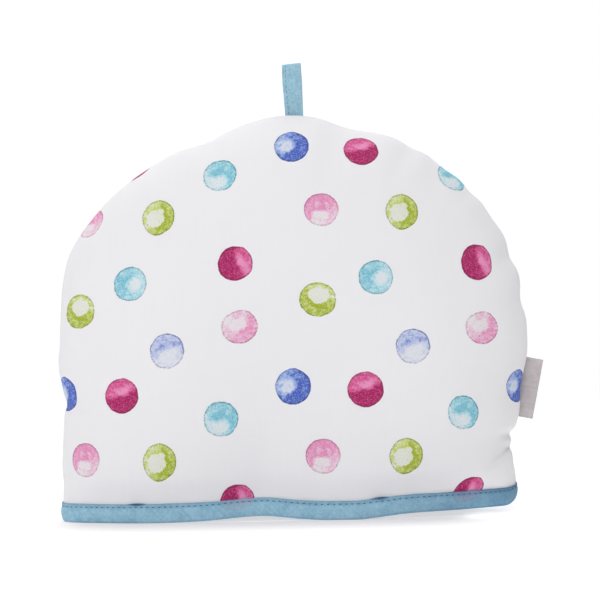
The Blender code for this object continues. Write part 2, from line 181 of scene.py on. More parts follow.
# ---- soft troughs and swellings of the two faces ----
CREASE_FADE = 0.7  # a trough is this much shallower at its far end
CREASE = "x0 z0 x1 z1 depth half_width"
FRONT_CREASES = chart(
    CREASE,
    (150, 48, 116, 28, 2.6, 8), (-14, 10, -20, 46, 2.4, 9), (12, 10, 16, 40, 1.6, 9),
    (-62, 258, -50, 200, 1.4, 13), (-146, 62, -108, 66, 2.2, 10), (86, 10, 92, 44, 1.6, 11),
)
BACK_CREASES = chart(
    CREASE,
    (148, 46, 112, 36, 3.0, 9), (14, 10, 6, 52, 2.6, 10), (-96, 10, -88, 44, 1.8, 11),
    (-144, 66, -104, 58, 2.4, 11), (52, 256, 40, 206, 1.6, 13),
)
NOTCH_FOLD = chart(CREASE, (153, 46.5, 130, 29.0, 5.0, 2.6))  # a sharp one, from the right seam's notch
NOTCH_FOLD_EASE = 3.0  # it starts this close behind the rolled edge
SWELL = "x z height radius"
FRONT_SWELLS = chart(
    SWELL,
    (-70, 150, 1.6, 60), (60, 190, 1.4, 55), (20, 90, -1.6, 60), (104, 110, 1.8, 45), (108, 62, 5.0, 38),
    (150, 26, -2.4, 20), (-100, 60, 1.2, 45),
)
BACK_SWELLS = chart(
    SWELL,
    (70, 140, 1.8, 60), (-50, 196, 1.4, 55), (-20, 84, -1.8, 60), (-104, 104, 1.6, 45), (96, 56, 1.4, 45),
)

# ---- where the sewing has pulled the printed cloth a little off its even place ----
PRINT_PULLS = chart(  # the last is a lean: further right the higher it lies
    "x z right up radius lean",
    (-4, 137, 0, 2.2, 38, 0), (-140, 137, 0, -2.5, 32, 0), (129, 127, 0, -2.4, 32, 0),
    (-112, 81, 0, -1.2, 25, 0), (-152, 80, 1.6, -1.6, 22, 0), (-45, 66, 1.2, -1.7, 24, 0),
    (-35, 10, 0, 7.0, 24, 0), (118, 16, -3.4, 1.7, 20, 0.5), (-88, 199, -1.2, 0, 30, 0),
    (78, 41, 1.2, 0, 26, 0), (-105, 155, -1.0, 0, 24, 0), (150, 88, -3.4, -2.4, 28, 0),
    (122, 8, -6.0, 5.4, 24, 0),
)
BACK_CUT = (52.0, 67.0)  # the back is cut this far along in the print, to the right and up

# ---- what is sewn into the seam parts it a little ----
LOOP_X, LOOP_WIDTH = 6.9, 12.7
LOOP_PART, LOOP_PART_MARGIN, PART_FADE = 1.5, 3.0, 10.0
TAB_FOOT, TAB_HEAD = np.array([162.2, 61.6]), np.array([170.4, 101.0])
TAB_LENGTH = np.linalg.norm(TAB_HEAD - TAB_FOOT)
TAB_PART, TAB_PART_MARGIN = 0.85, 6.0
TAB_PLACE = np.interp(153.0, EDGE_ANGLES, EDGE_ALONG)
CROWN = (EDGE_ANGLES > 60) & (EDGE_ANGLES < 120)
LOOP_PLACE = np.interp(LOOP_X, EDGE_LINE[CROWN, 0], EDGE_ALONG[CROWN])

# ---- how finely the cloth is divided, from the seam to the middle line and along the seam ----
HEM_RISES = np.array([1.3, 3, 5, 7, 9, 10.5, 11.7, 12.5, 13.3, 14.5, 16, 18, 20.5, 23, 25.5, 28, 30.5, 33])
SEAM_STEPS = 400
ROLL_TURNS = np.radians([0, 13, 26, 39, 52, 64, 77])
SHOULDER_TURNS = np.radians(np.linspace(0, 90, 14))
FACE_SHARES = np.linspace(0, 1, 39)[1:]

BACK, FRONT = 1, -1  # the side that a panel faces along Y


def bump(offset, half_width):
    """1 in the middle, falling off to nothing on both sides."""
    return np.exp(-((offset / half_width) ** 2))


class Ripple:
    """Seeded, smooth unevenness along a line or over a sheet, between -1 and 1."""

    CELLS = 128

    def __init__(self, seed, spacing):
        self.heights = np.random.RandomState(seed).uniform(-1, 1, (self.CELLS, self.CELLS))
        self.spacing = spacing

    def height(self, i, j):
        return self.heights[i % self.CELLS, j % self.CELLS]

    def __call__(self, u, v=0.0):
        u, v = np.broadcast_arrays(np.asarray(u, float) / self.spacing, np.asarray(v, float) / self.spacing)
        i, j = np.floor(u).astype(int), np.floor(v).astype(int)
        a, b = smooth(u - i), smooth(v - j)
        near = self.height(i, j) * (1 - b) + self.height(i, j + 1) * b
        far = self.height(i + 1, j) * (1 - b) + self.height(i + 1, j + 1) * b
        return near * (1 - a) + far * a


def seam_half_gap(place):
    """Half the seam's gap: closed, but for where the loop and the tab are sewn into it."""
    loop_end, tab_end = LOOP_WIDTH / 2 + LOOP_PART_MARGIN, TAB_LENGTH / 2 + TAB_PART_MARGIN
    loop = smooth(1 - (abs(place - LOOP_PLACE) - loop_end) / PART_FADE)
    tab = smooth(1 - (abs(place - TAB_PLACE) - tab_end) / PART_FADE)
    return SEAM_HALF_GAP + (LOOP_PART - SEAM_HALF_GAP) * loop + (TAB_PART - SEAM_HALF_GAP) * tab


def pucker_pull(place, inward):
    """How far the sewing draws the edge in, fading towards the middle of the panel."""
    return sum(
        fold.depth * bump(place - np.interp(fold.angle, EDGE_ANGLES, EDGE_ALONG), fold.half_width)
        * bump(inward, fold.reach)
        for fold in PUCKERS
    )


def crease_depth(creases, x, z):
    """How deep the face lies in its soft troughs."""
    total = 0.0
    for crease in creases:
        run_x, run_z = crease.x1 - crease.x0, crease.z1 - crease.z0
        share = ((x - crease.x0) * run_x + (z - crease.z0) * run_z) / (run_x**2 + run_z**2)
        held = np.clip(share, 0, 1)
        off = np.hypot(x - crease.x0 - run_x * held, z - crease.z0 - run_z * held)
        total = total + crease.depth * bump(off, crease.half_width) * (1 - CREASE_FADE * held)
    return total


def swell_height(swells, x, z):
    return sum(swell.height * bump(np.hypot(x - swell.x, z - swell.z), swell.radius) for swell in swells)


def squeeze(rise):
    """1 under the binding, 0 where the wadding is at its full thickness."""
    return 1 - smooth((rise - BINDING_HEIGHT) / PUFF_RISE)


def hem_wave(side, x, z):
    """How far the hem wanders outward, and how far it lifts."""
    rows = FRONT_HEM if side == FRONT else BACK_HEM
    outward = read_table(rows, x, "outward") * bump(z, HEM_WAVE_FADE)
    lift = np.maximum(read_table(rows, x, "lift"), 0.0) * smooth(1 - z / HEM_LIFT_FADE)
    return outward, lift + corner_rise(x, z)


def corner_rise(x, z):
    """How far the rounding of the hem's two lower corners lifts it."""
    rise = 0.0
    for from_end, radius in (
        (x - HEM_ENDS[0] + CORNER_STANDOFF, LEFT_CORNER_ROUND),
        (HEM_ENDS[1] + CORNER_STANDOFF - x, RIGHT_CORNER_ROUND),
    ):
        short = np.clip(radius - from_end, 0, radius)
        rise = rise + radius - np.sqrt(radius**2 - short**2)
    return rise * np.clip(1 - z / CORNER_FADE, 0, 1)


def end_draw(x, z):
    """How far the right end is drawn in."""
    return RIGHT_DRAW * smooth((x - DRAW_FROM) / (HEM_ENDS[1] - DRAW_FROM)) * smooth(1 - z / DRAW_FADE)


def padded_depth(start, inward, share, shoulder_reach, shoulder_depth, belly_depth):
    """The depth of a round shoulder, with the belly that swells on from it to the middle line."""
    lip = 1 - np.minimum(inward / shoulder_reach, 1)
    return start + shoulder_depth * np.sqrt(1 - lip**2) + belly_depth * (1 - (1 - share) ** 3)


def outer_rows(side, place, rise, reach):
    """The outside's rows from the seam to the middle line, as distance in and depth."""
    squeezed, gap = squeeze(rise)[:, None], seam_half_gap(place)[:, None]
    roll_in = SEAM_SINK * (1 - squeezed) * (1 - np.sin(ROLL_TURNS))
    roll_depth = gap + (ROLL_DEPTH - gap) * (1 - np.cos(ROLL_TURNS))
    shoulder_in = np.repeat([SHOULDER_REACH * (1 - np.cos(SHOULDER_TURNS))], len(place), axis=0)
    face_in = SHOULDER_REACH + (reach[:, None] - SHOULDER_REACH) * FACE_SHARES
    inward = np.hstack([shoulder_in, face_in])
    share = inward / reach[:, None]
    depth = padded_depth(ROLL_DEPTH, inward, share, SHOULDER_REACH, SHOULDER_DEPTH, BELLY_DEPTH)
    depth -= PUCKER_DEPTH_SHARE * pucker_pull(place[:, None], inward) * (1 - squeezed)
    depth -= HEM_DRAW_DEPTH * squeezed * smooth(inward / SHOULDER_REACH)
    inward, depth = np.hstack([roll_in, inward]), np.hstack([roll_depth, depth])
    ease = seam_gathers(side, place[:, None], inward) * (1 - squeezed) * smooth(depth / ROLL_DEPTH)
    inward = inward + pucker_pull(place[:, None], inward) * (1 - squeezed)
    inward = inward + HEM_DRAW_END * squeezed * bump(inward, SHOULDER_REACH)
    return together(inward - GATHER_DRAW * ease * bump(inward, GATHER_DRAW_REACH), depth + ease)


def seam_gathers(side, place, inward):
    """Small gathers where the face is eased onto the seam, dying out over the shoulder."""
    return sum(
        row.height * Ripple(row.seed + side, row.spacing)(place) * bump(inward - row.crest, row.reach)
        for row in GATHERS
    )


def offset_inwards(rows, thickness):
    """The same rows moved in by the hem's thickness, square to themselves."""
    run = np.empty_like(rows)
    run[:, 1:-1] = rows[:, 2:] - rows[:, :-2]
    run[:, 0] = (0, 1)  # square to the seam's plane
    run[:, -1] = (1, 0)  # square to the middle line
    run = unit(run)
    return rows + thickness * together(run[..., 1], -run[..., 0])


def inner_rows(place, rise, reach, outer):
    """The same rows on the inside: full wadding above, a squeezed sheet under the binding."""
    squeezed = squeeze(rise)[:, None, None]
    start = SEAM_SINK + SEAM_LAND
    share = np.linspace(0, 1, outer.shape[1])[None, :] ** INNER_CROWDING
    inward = share * (reach[:, None] - start)
    gap = seam_half_gap(place)[:, None]
    depth = padded_depth(gap, inward, share, INNER_REACH, INNER_SHOULDER, INNER_BELLY)
    full = together(start + inward, depth)
    return full + (offset_inwards(outer, HEM_THICK) - full) * squeezed


def stand_rows(side, edge, inwards, rows, on_face):
    """Stands rows of (distance in, depth) up in space, in millimetres."""
    x = edge[:, None, 0] + inwards[:, None, 0] * rows[..., 0]
    z = edge[:, None, 1] + inwards[:, None, 1] * rows[..., 0]
    depth = rows[..., 1]
    if on_face:
        creases, swells = (FRONT_CREASES, FRONT_SWELLS) if side == FRONT else (BACK_CREASES, BACK_SWELLS)
        free = smooth((depth - ROLL_DEPTH) / SHOULDER_REACH) * (1 - squeeze(z))
        notch_free = smooth((depth - ROLL_DEPTH) / NOTCH_FOLD_EASE)
        shape = swell_height(swells, x, z) - crease_depth(creases, x, z)
        shape = shape + sum(
            row.height * Ripple(row.seed + side, row.spacing)(x + RUMPLE_START, z) for row in FACE_RUMPLES
        )
        depth = depth + shape * free
        if side == FRONT:
            depth = depth - crease_depth(NOTCH_FOLD, x, z) * notch_free
    outward, lift = hem_wave(side, x, z)
    depth = depth + outward * smooth(depth / WAVE_DEPTH)
    return together(x - end_draw(x, z) + BODY_SHIFT, side * depth, z + lift)


def print_drift(x, z):
    """How far the sewing has pulled the print off its even place, to the right and up."""
    pulled = [bump(np.hypot(x - pull.x, z - pull.z), pull.radius) for pull in PRINT_PULLS]
    right = sum((pull.right + pull.lean * (z - pull.z)) * share for pull, share in zip(PRINT_PULLS, pulled))
    up = sum(pull.up * share for pull, share in zip(PRINT_PULLS, pulled))
    return together(right, up)


def cloth_places(side, points, outwards):
    """Where each point lies on the flat cloth: along the rows from the middle line, as cut."""
    steps = np.linalg.norm(np.diff(points, axis=1), axis=-1)
    from_middle = np.hstack([np.cumsum(steps[:, ::-1], axis=1)[:, ::-1], np.zeros((len(points), 1))])
    half = len(points) // 2
    climb = run_along(points[: half + 1, -1])
    middle = together(np.zeros(len(points)), np.append(climb, climb[-2::-1]) + HEM_FOOT)
    flat = middle[:, None] + outwards[:, None] * from_middle[..., None]
    if side == BACK:
        return flat * (-1, 1) + BACK_CUT
    return flat - print_drift(points[..., 0] - BODY_SHIFT, points[..., 2])


def grid_numbers(count, columns, first):
    """Vertex numbers of a grid whose left and right rows share their last vertex on the middle line."""
    numbers = first + np.arange(count * columns).reshape(count, columns)
    for k in range(count // 2 + 1, count):
        numbers[k, -1] = numbers[count - 1 - k, -1]
    return numbers


def strip_faces(first, second):
    """Four-sided faces between two lines of vertex numbers."""
    return together(first[:-1], first[1:], second[1:], second[:-1]).reshape(-1, 4)


def grid_faces(numbers):
    return np.concatenate([strip_faces(a, b) for a, b in zip(numbers, numbers[1:])])


def place_object(name, data):
    placed = bpy.data.objects.new(name, data)
    bpy.context.scene.collection.objects.link(placed)
    return placed


def finish_mesh(name, points, faces, **marks):
    """A closed mesh in metres, its faces outward. A mark with two columns is a UV map, one an attribute."""
    mesh = bpy.data.meshes.new(name)
    mesh.from_pydata((points * MM).tolist(), [], faces)
    corners = np.empty(len(mesh.loops), np.int32)
    mesh.loops.foreach_get("vertex_index", corners)
    for title, values in marks.items():
        if values.ndim == 2:
            mesh.uv_layers.new(name=title).data.foreach_set("uv", (values[corners] * MM).ravel())
        else:
            mesh.attributes.new(title, "FLOAT", "POINT").data.foreach_set("value", values.astype(float))
    bm = bmesh.new()
    bm.from_mesh(mesh)
    loose = [vert for vert in bm.verts if not vert.link_faces]
    bmesh.ops.delete(bm, geom=loose, context="VERTS")
    bmesh.ops.recalc_face_normals(bm, faces=bm.faces)
    bm.to_mesh(mesh)
    bm.free()
    mesh.shade_smooth()
    return place_object(name, mesh)


def panel_rows(side):
    """The panel's rows outside and inside, stood up, and where their points lie on the flat cloth."""
    even = np.linspace(HEM_RISES[-1], EDGE_LENGTH - HEM_RISES[-1], SEAM_STEPS + 1)[1:-1]
    place = np.concatenate([HEM_RISES, even, EDGE_LENGTH - HEM_RISES[::-1]])
    rise = np.minimum(place, EDGE_LENGTH - place)
    edge = edge_at(place)
    spine = together(np.zeros(len(place)), rise / np.sqrt(1 + (rise / SPINE_TOP) ** 2))
    reach = np.linalg.norm(spine - edge, axis=1)
    inwards = (spine - edge) / reach[:, None]
    outer = outer_rows(side, place, rise, reach)
    inner = inner_rows(place, rise, reach, outer)
    outside = stand_rows(side, edge, inwards, outer, on_face=True)
    inside = stand_rows(side, edge, inwards, inner, on_face=False)
    flats = [cloth_places(side, points, -inwards) for points in (outside, inside)]
    return outside, inside, *flats


def make_panel(name, side):
    outside, inside, *flats = panel_rows(side)
    count, columns = outside.shape[:2]
    outer, inner = grid_numbers(count, columns, 0), grid_numbers(count, columns, count * columns)
    faces = [grid_faces(outer), grid_faces(inner), strip_faces(outer[:, 0], inner[:, 0])]
    faces += [strip_faces(outer[end], inner[end]) for end in (0, -1)]
    points = np.concatenate([outside.reshape(-1, 3), inside.reshape(-1, 3)])
    flat = np.concatenate([rows.reshape(-1, 2) for rows in flats])
    printed = np.arange(len(points)) < count * columns
    return finish_mesh(name, points, np.concatenate(faces).tolist(), cloth=flat, printed=printed)


front_cloth = make_panel("front_printed_panel", FRONT)
back_cloth = make_panel("back_printed_panel", BACK)

# ---- the printed cotton ----
# A plain weave in fine thread, bleached white, with loose watercolour spots printed on it in a square
# repeat. It is cut with the repeat a touch off the grain. Inside, the same cotton is left unprinted.
THREAD = 0.42  # from one thread to the next, in millimetres
REPEAT = 161.0
GRAIN_SLIP = 0.014  # how far the repeat leans off the grain for each unit up the cloth
SEED_STEP = 7.3  # how far apart two spots' blots are taken from one noise
FIRST_SPOT = (74.1, 200.3)  # where the chart's first spot lies on the cloth, from the middle of the hem

Paint = namedtuple("Paint", "deep pale washed")
PAINTS = {  # each paint where it pools, where it lies thin, and where water has lifted most of it
    "leaf green": Paint((0.38, 0.47, 0.012), (0.64, 0.72, 0.20), (0.83, 0.84, 0.78)),
    "blue": Paint((0.06, 0.12, 0.54), (0.32, 0.46, 0.84), (0.74, 0.78, 0.88)),
    "pale blue": Paint((0.24, 0.32, 0.70), (0.58, 0.64, 0.86), (0.80, 0.81, 0.87)),
    "magenta": Paint((0.43, 0.008, 0.12), (0.76, 0.11, 0.32), (0.86, 0.33, 0.57)),
    "turquoise": Paint((0.20, 0.56, 0.70), (0.46, 0.76, 0.84), (0.79, 0.84, 0.87)),
    "pink": Paint((0.84, 0.28, 0.52), (0.89, 0.55, 0.72), (0.87, 0.81, 0.84)),
}
SPOTS = chart(  # places and sizes in millimetres from the first spot; patches in shares of its half size
    "paint right down wide tall patch_x patch_y patch_wide patch_tall slant soft thin pooled side rim",
    ("leaf green", 0, 0, 22.6, 24.3, -0.18, -0.04, 0.56, 0.54, -35, 0.08, 0.30, 0.74, -20, 1.0),
    ("pink", 107.5, -1.8, 22.7, 22.3, 0.04, -0.3, 0.52, 0.26, 0, 0.45, 0.20, 0.86, 105, 0.9),
    ("magenta", 51.0, 33.3, 23.3, 23.6, 0.34, 0.1, 0.28, 0.7, 26, 0.85, 0.42, 1.05, 185, 1.3),
    ("turquoise", 142.8, 43.6, 23.2, 22.5, 0.3, 0.04, 0.44, 0.42, 45, 0.5, 0.36, 0.70, 165, 1.0),
    ("leaf green", 104.6, 58.6, 24.4, 22.7, 0.03, 0.2, 0.54, 0.5, 15, 0.08, 0.40, 0.74, -110, 1.0),
    ("pink", 53.5, 75.4, 23.9, 21.7, -0.1, 0.16, 0.5, 0.36, 10, 0.5, 0.14, 0.70, -42, 0.9),
    ("pale blue", 5.8, 88.9, 22.7, 23.2, 0.2, -0.24, 0.66, 0.42, 15, 0.5, 0.10, 0.54, 95, 1.0),
    ("blue", 88.3, 114.3, 23.7, 23.1, -0.34, 0.02, 0.46, 0.48, 15, 0.5, 0.50, 0.92, -30, 1.1),
    ("magenta", 135.5, 116.7, 23.8, 23.4, -0.02, 0.24, 0.76, 0.24, 18, 0.8, 0.38, 1.05, -75, 1.3),
    ("turquoise", 40.0, 132.7, 23.2, 23.1, -0.06, -0.42, 0.5, 0.42, -10, 0.5, 0.34, 0.72, 50, 1.0),
)


def feed(socket, value):
    """Links a value to a node's input, or sets it there where it is a plain number or colour."""
    if isinstance(value, Value):
        socket.id_data.links.new(value.socket, socket)
    elif value is not None:
        socket.default_value = value


def add_node(tree, kind, *values, output=0, **settings):
    """Adds a node and feeds its inputs in their order, passing over those given as None."""
    node = tree.nodes.new("ShaderNode" + kind)
    for name, value in settings.items():
        setattr(node, name, value)
    for socket, value in zip(node.inputs, values):
        feed(socket, value)
    if output is None:
        return [Value(socket) for socket in node.outputs]
    return Value(node.outputs[output])


class Value:
    """A value in a shader's workings. Whatever is worked out with it adds nodes to its tree."""

    def __init__(self, socket=None, factors=None):
        self.made, self.factors = socket, factors

    @property
    def socket(self):
        """A product gets its node when it is first needed: in a sum, one node both multiplies and adds."""
        if self.made is None:
            self.made = self.factors[0].maths("MULTIPLY", self.factors[1]).made
        return self.made

    @property
    def is_vector(self):
        return self.factors is None and self.made.type != "VALUE"

    def into(self, kind, *values, **settings):
        """What comes out of a new node whose first input is this value."""
        return add_node(self.socket.id_data, kind, self, *values, **settings)

    def maths(self, operation, *values):
        if not self.is_vector:
            return self.into("Math", *values, operation=operation)
        output = "Value" if operation in ("LENGTH", "DOT_PRODUCT") else "Vector"
        return self.into("VectorMath", *values, output=output, operation=operation)

    def __mul__(self, other):
        if not self.is_vector:
            return Value(factors=(self, other))
        if isinstance(other, (Value, tuple)):
            return self.maths("MULTIPLY", other)
        return self.maths("SCALE", None, None, other)

    def __add__(self, other):
        if self.made is None:
            return self.factors[0].maths("MULTIPLY_ADD", self.factors[1], other)
        return self.maths("ADD", other)

    def __sub__(self, other):
        return self.maths("SUBTRACT", other)

    def __rsub__(self, other):
        return add_node(self.socket.id_data, "Math", other, self, operation="SUBTRACT")

    def ease(self, low, high, start=0.0, end=1.0):
        """An eased step from start to end, as the value goes from low to high."""
        return self.into("MapRange", low, high, start, end, interpolation_type="SMOOTHSTEP")

    def blend(self, first, second):
        """From the first colour to the second, as the value goes from 0 to 1."""
        return self.into("Mix", *[None] * 5, first, second, output=2, data_type="RGBA")

    def noise(self, scale, detail=1.0, output="Fac"):
        return self.into("TexNoise", None, scale, detail, output=output)

    def noises(self, scale, detail):
        """Three separate noises of one size, each about 0."""
        return (self.noise(scale, detail, "Color") - (0.5, 0.5, 0.5)).parts()

    def parts(self):
        return self.into("SeparateXYZ", output=None)

    def turned(self, angle):
        """The vector turned about Z."""
        return self.into("VectorRotate", None, None, angle, rotation_type="Z_AXIS")

    def group(self, tree):
        return self.into("Group", output=None, node_tree=tree)


def laid_flat(tree, marks):
    """Where the cloth lies on one of its UV maps, in millimetres."""
    return add_node(tree, "UVMap", uv_map=marks) * (1 / MM)


def mark(tree, name):
    return add_node(tree, "Attribute", output="Fac", attribute_name=name)


def new_group(name, inputs, outputs):
    """An empty shader group with these named sockets: its tree, what it gets and what it gives."""
    tree = bpy.data.node_groups.new(name, "ShaderNodeTree")
    for direction, sockets in (("INPUT", inputs), ("OUTPUT", outputs)):
        for title, kind in sockets.items():
            tree.interface.new_socket(title, in_out=direction, socket_type="NodeSocket" + kind)
    got, give = tree.nodes.new("NodeGroupInput").outputs, tree.nodes.new("NodeGroupOutput").inputs
    return tree, [Value(got[title]) for title in inputs], give


def make_weave_group():
    """A plain weave: every thread passes over and under in turn, and is thicker here and there."""
    tree, (place,), give = new_group("plain weave", {"Place": "Vector"}, {"Height": "Float", "Slub": "Float"})
    warp, weft, _ = place.parts()
    round_warp, round_weft = ((thread * math.pi).maths("SINE").maths("ABSOLUTE") for thread in (warp, weft))
    crossing = warp.maths("FLOOR") + weft.maths("FLOOR")
    warp_over = crossing.maths("FLOORED_MODULO", 2.0)
    warp_top = round_warp * (round_weft * 0.45 + 0.55)
    weft_top = round_weft * (round_warp * 0.45 + 0.55)
    feed(give["Height"], (warp_top - weft_top) * warp_over + weft_top)
    warp_slub = (place * (0.35, 0.010, 1.0)).noise(1.0)
    weft_slub = (place * (0.008, 0.40, 1.0)).noise(1.0)
    feed(give["Slub"], warp_slub * 0.65 + weft_slub * 0.35)
    return tree


def make_spots_group():
    """The print: which spot a point of the cloth lies in, and how thick the wash of paint is there."""
    tree, (place,), give = new_group(
        "watercolour spots", {"Place": "Vector"}, {"Ink": "Float", "Colour": "Color"}
    )
    # which spot a point lies in, how far from its middle in shares of its half size, and that spot's facts
    across = place.maths("DOT_PRODUCT", (1.0, -GRAIN_SLIP, 0.0))
    upward = place.maths("DOT_PRODUCT", (0.0, 1.0, 0.0))
    repeats = across.into("CombineXYZ", upward) * (1 / REPEAT)
    kinds = ("share", "patch", "patch_form", "dark_side", "washes", "deep", "pale", "washed")
    found = dict.fromkeys(kinds, (0.0, 0.0, 0.0))
    for number, spot in enumerate(SPOTS, 1):
        paint, side = PAINTS[spot.paint], math.radians(spot.side)
        middle = ((FIRST_SPOT[0] + spot.right) / REPEAT, (FIRST_SPOT[1] - spot.down) / REPEAT)
        nearest = repeats + (0.5 - middle[0], 0.5 - middle[1], 0.0)
        offset = nearest.maths("FRACTION") - (0.5, 0.5, 0.0)
        share = offset * (2 * REPEAT / spot.wide, 2 * REPEAT / spot.tall, 0.0)
        here = share.maths("LENGTH").maths("LESS_THAN", 1.25)
        facts = {
            "share": share,
            "patch": (spot.patch_x, spot.patch_y, number * SEED_STEP),
            "patch_form": (1 / spot.patch_wide, 1 / spot.patch_tall, math.radians(-spot.slant)),
            "dark_side": (math.cos(side), math.sin(side), spot.soft),
            "washes": (spot.thin, spot.pooled, spot.rim),
            **paint._asdict(),
        }
        for kind, fact in facts.items():
            found[kind] = add_node(tree, "VectorMath", fact, here, found[kind], operation="MULTIPLY_ADD")

    # three sizes of unevenness, each spot's its own
    drawn = found["share"] + found["patch"] * (0.0, 0.0, 1.0)
    wobble, bloom, blot = drawn.noises(1.6, 1.0)
    ragged, mottle, broken = drawn.noises(5.0, 2.0)
    grain, speck, _ = drawn.noises(13.0, 1.0)

    # the spot's wobbly edge, and its light patch turned and spread as that spot's is
    reach = wobble * 0.13 + (ragged * 0.06 + found["share"].maths("LENGTH"))
    from_patch = found["share"] - found["patch"] * (1, 1, 0)
    _, _, slant = found["patch_form"].parts()
    _, _, soft = found["dark_side"].parts()
    spread = (from_patch.turned(slant) * (found["patch_form"] * (1.0, 1.0, 0.0))).maths("LENGTH")
    spread = bloom * 1.1 + (spread + ragged * soft.ease(0.0, 0.5, 0.35, 0.9))

    # how thick the paint is: pooled to one side, blotted, gathered round the patch and lifted within it
    thin, pooled, rim_strength = found["washes"].parts()
    edge_in, edge_out = 1.0 - soft, soft + 1.0
    lifted = spread.ease(edge_in, edge_out, 1.0, 0.0)
    sideways = from_patch.maths("DOT_PRODUCT", found["dark_side"]).ease(-0.5, 0.65)
    tone = sideways * (pooled - thin) + thin
    tone = blot * 0.8 + (mottle * 1.35 + tone)
    hugging = spread.ease(edge_out, edge_out + 0.55, 1.0, 0.0)
    tone = hugging * sideways * 0.26 + tone
    tone = tone * (lifted * -0.9 + 1.0)
    colour = tone.ease(-0.02, 0.5).blend(found["washed"], found["pale"])
    colour = tone.ease(0.42, 0.98).blend(colour, found["deep"])

    # the paint's grain sits in the weave as darker and lighter specks, and dries as a thin dotted rim
    darkest = found["deep"] * 0.5
    painted = tone.ease(0.0, 0.5, 0.16, 0.5)
    colour = (speck.ease(0.02, 0.2) * painted).blend(colour, darkest)
    thinner = tone.ease(0.3, 0.8, 0.0, 0.6).blend(found["washed"], found["pale"])
    colour = grain.ease(0.02, 0.2, 0.0, 0.5).blend(colour, thinner)
    dotted = (speck * 2.2 + (broken * 2.4 + 0.6)).ease(0.0, 0.8) * sideways.ease(0.0, 1.0, 0.6, 1.0)
    rim = reach.ease(0.89, 0.95) * (dotted * rim_strength)
    in_a_spot = found["patch_form"].into("Math", 0.0, operation="GREATER_THAN")
    feed(give["Ink"], in_a_spot * reach.ease(0.97, 1.01, 1.0, 0.0))
    feed(give["Colour"], rim.blend(colour, darkest))
    return tree


def new_material(name, roughness, sheen=0.0):
    """A material with only its shader: the material, the shader's sockets and the tree."""
    material = bpy.data.materials.new(name)
    material.use_nodes = True
    shader = material.node_tree.nodes["Principled BSDF"].inputs
    shader["Roughness"].default_value = roughness
    shader["Sheen Weight"].default_value = sheen
    shader["Sheen Roughness"].default_value = 0.5
    shader["Specular IOR Level"].default_value = 0.25
    return material, shader, material.node_tree


def raise_bump(shader, height, depth):
    """Feeds a height between 0 and 1 to the shader as relief, so many millimetres deep."""
    feed(shader["Normal"], add_node(height.socket.id_data, "Bump", None, depth * MM, None, height))


def weave_surface(shader, height, hollow, crown, depth=0.05):
    """A weave's surface: its roughness in the hollows and on the threads' crowns, and its relief."""
    feed(shader["Roughness"], height.ease(0.0, 1.0, hollow, crown))
    raise_bump(shader, height, depth)


plain_weave = make_weave_group()
watercolour_spots = make_spots_group()


def make_printed_cotton():
    cotton, shader, tree = new_material("white printed cotton", 0.92, sheen=0.08)
    flat = laid_flat(tree, "cloth")
    height, slub = (flat * (1 / THREAD)).group(plain_weave)
    ink, paint = flat.group(watercolour_spots)
    white = slub.blend((0.89, 0.88, 0.90, 1), (0.92, 0.91, 0.93, 1))
    ink = ink * mark(tree, "printed") * height.ease(-0.3, 0.5, 0.86, 1.0)
    feed(shader["Base Color"], ink.blend(white, paint))
    weave_surface(shader, height, 0.97, 0.86)
    return cotton


printed_cotton = make_printed_cotton()
for piece, node in ((front_cloth, "front_panel"), (back_cloth, "back_panel")):
    piece.data.materials.append(printed_cotton)
    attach(piece, "root")
    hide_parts(node)

# ========================================
# The hem's binding: a light blue cotton tape cut on the bias, folded lengthways, laid round the raw edge
# of both panels and stitched through close to its upper edge. Its ends are lapped at the middle of the
# front. It is thin enough for the print to show through a little.
STITCH_PITCH, STITCH_HEIGHT = 3.95, 10.4
TAPE_MIDDLE = -2.0  # the tape's outside lies out from here, and its inside in from it
TAPE_STEP = 0.5  # from one line of the tape's mesh to the next
TAPE_THREAD = 0.34
LAP_X, LAP_RAISE, LAP_LENGTH = 3.0, 0.5, 13.0
LAP_SLANT, LAP_STEP, LAP_FADE = 0.15, 0.7, 9.0
GAPE_OUT, GAPE_RISE = 0.8, 0.7
RIGHT_PAINTED_SHADE, RIGHT_FROM, RIGHT_RUN = 0.62, 40.0, 115.0  # the tape is painted in shade, more and more towards its right end
ROW_ABOVE_TAPE = 7  # the row of the panel's cloth that lies at the tape's upper edge
# the deep blue of the tape's painted shade
PAINTED_SHADE_BLUE = (0.03, 0.12, 0.25, 1)
UNDER_SQUEEZE = 1.55  # the print runs off this much quicker under the tape, where the layers are squeezed

GAPES = chart("x half_width", (-101.0, 5.2), (57.5, 5.0))  # where the tape's upper edge stands off
GAPE_FROM, GAPE_OVER = 10.8, 1.4  # it opens from this height, over so much more
GAPE_EDGE_FROM, GAPE_EDGE_OVER, GAPE_SHADE = 11.6, 0.5, 2.4  # its edge rises, and its inside is painted in shade
DIMPLE_DEPTH, DIMPLE_HALF, DIMPLE_BETWEEN = 0.30, 0.75, 0.35  # the last is its share between two stitches
RUMPLE_HEIGHT, FINE_RUMPLE_HEIGHT = 0.20, 0.12
RUMPLE_MIDDLE, RUMPLE_HALF = 6.0, 5.0  # the tape rumples most half-way up
TOP_WANDER, WANDER_FROM, WANDER_OVER = 0.16, 9.0, 3.0  # the tape's upper edge wanders up and down
FOLD_SHADES = chart(  # where the tape is painted in shade: from the stitches up, at the top fold and at the foot
    "share start run",
    (0.16, 8.6, 1.6), (0.2, 11.9, 0.4), (0.3, 1.6, -1.4),
)
WALL_POINTS = 5  # this many of the section's last points lie against the panels

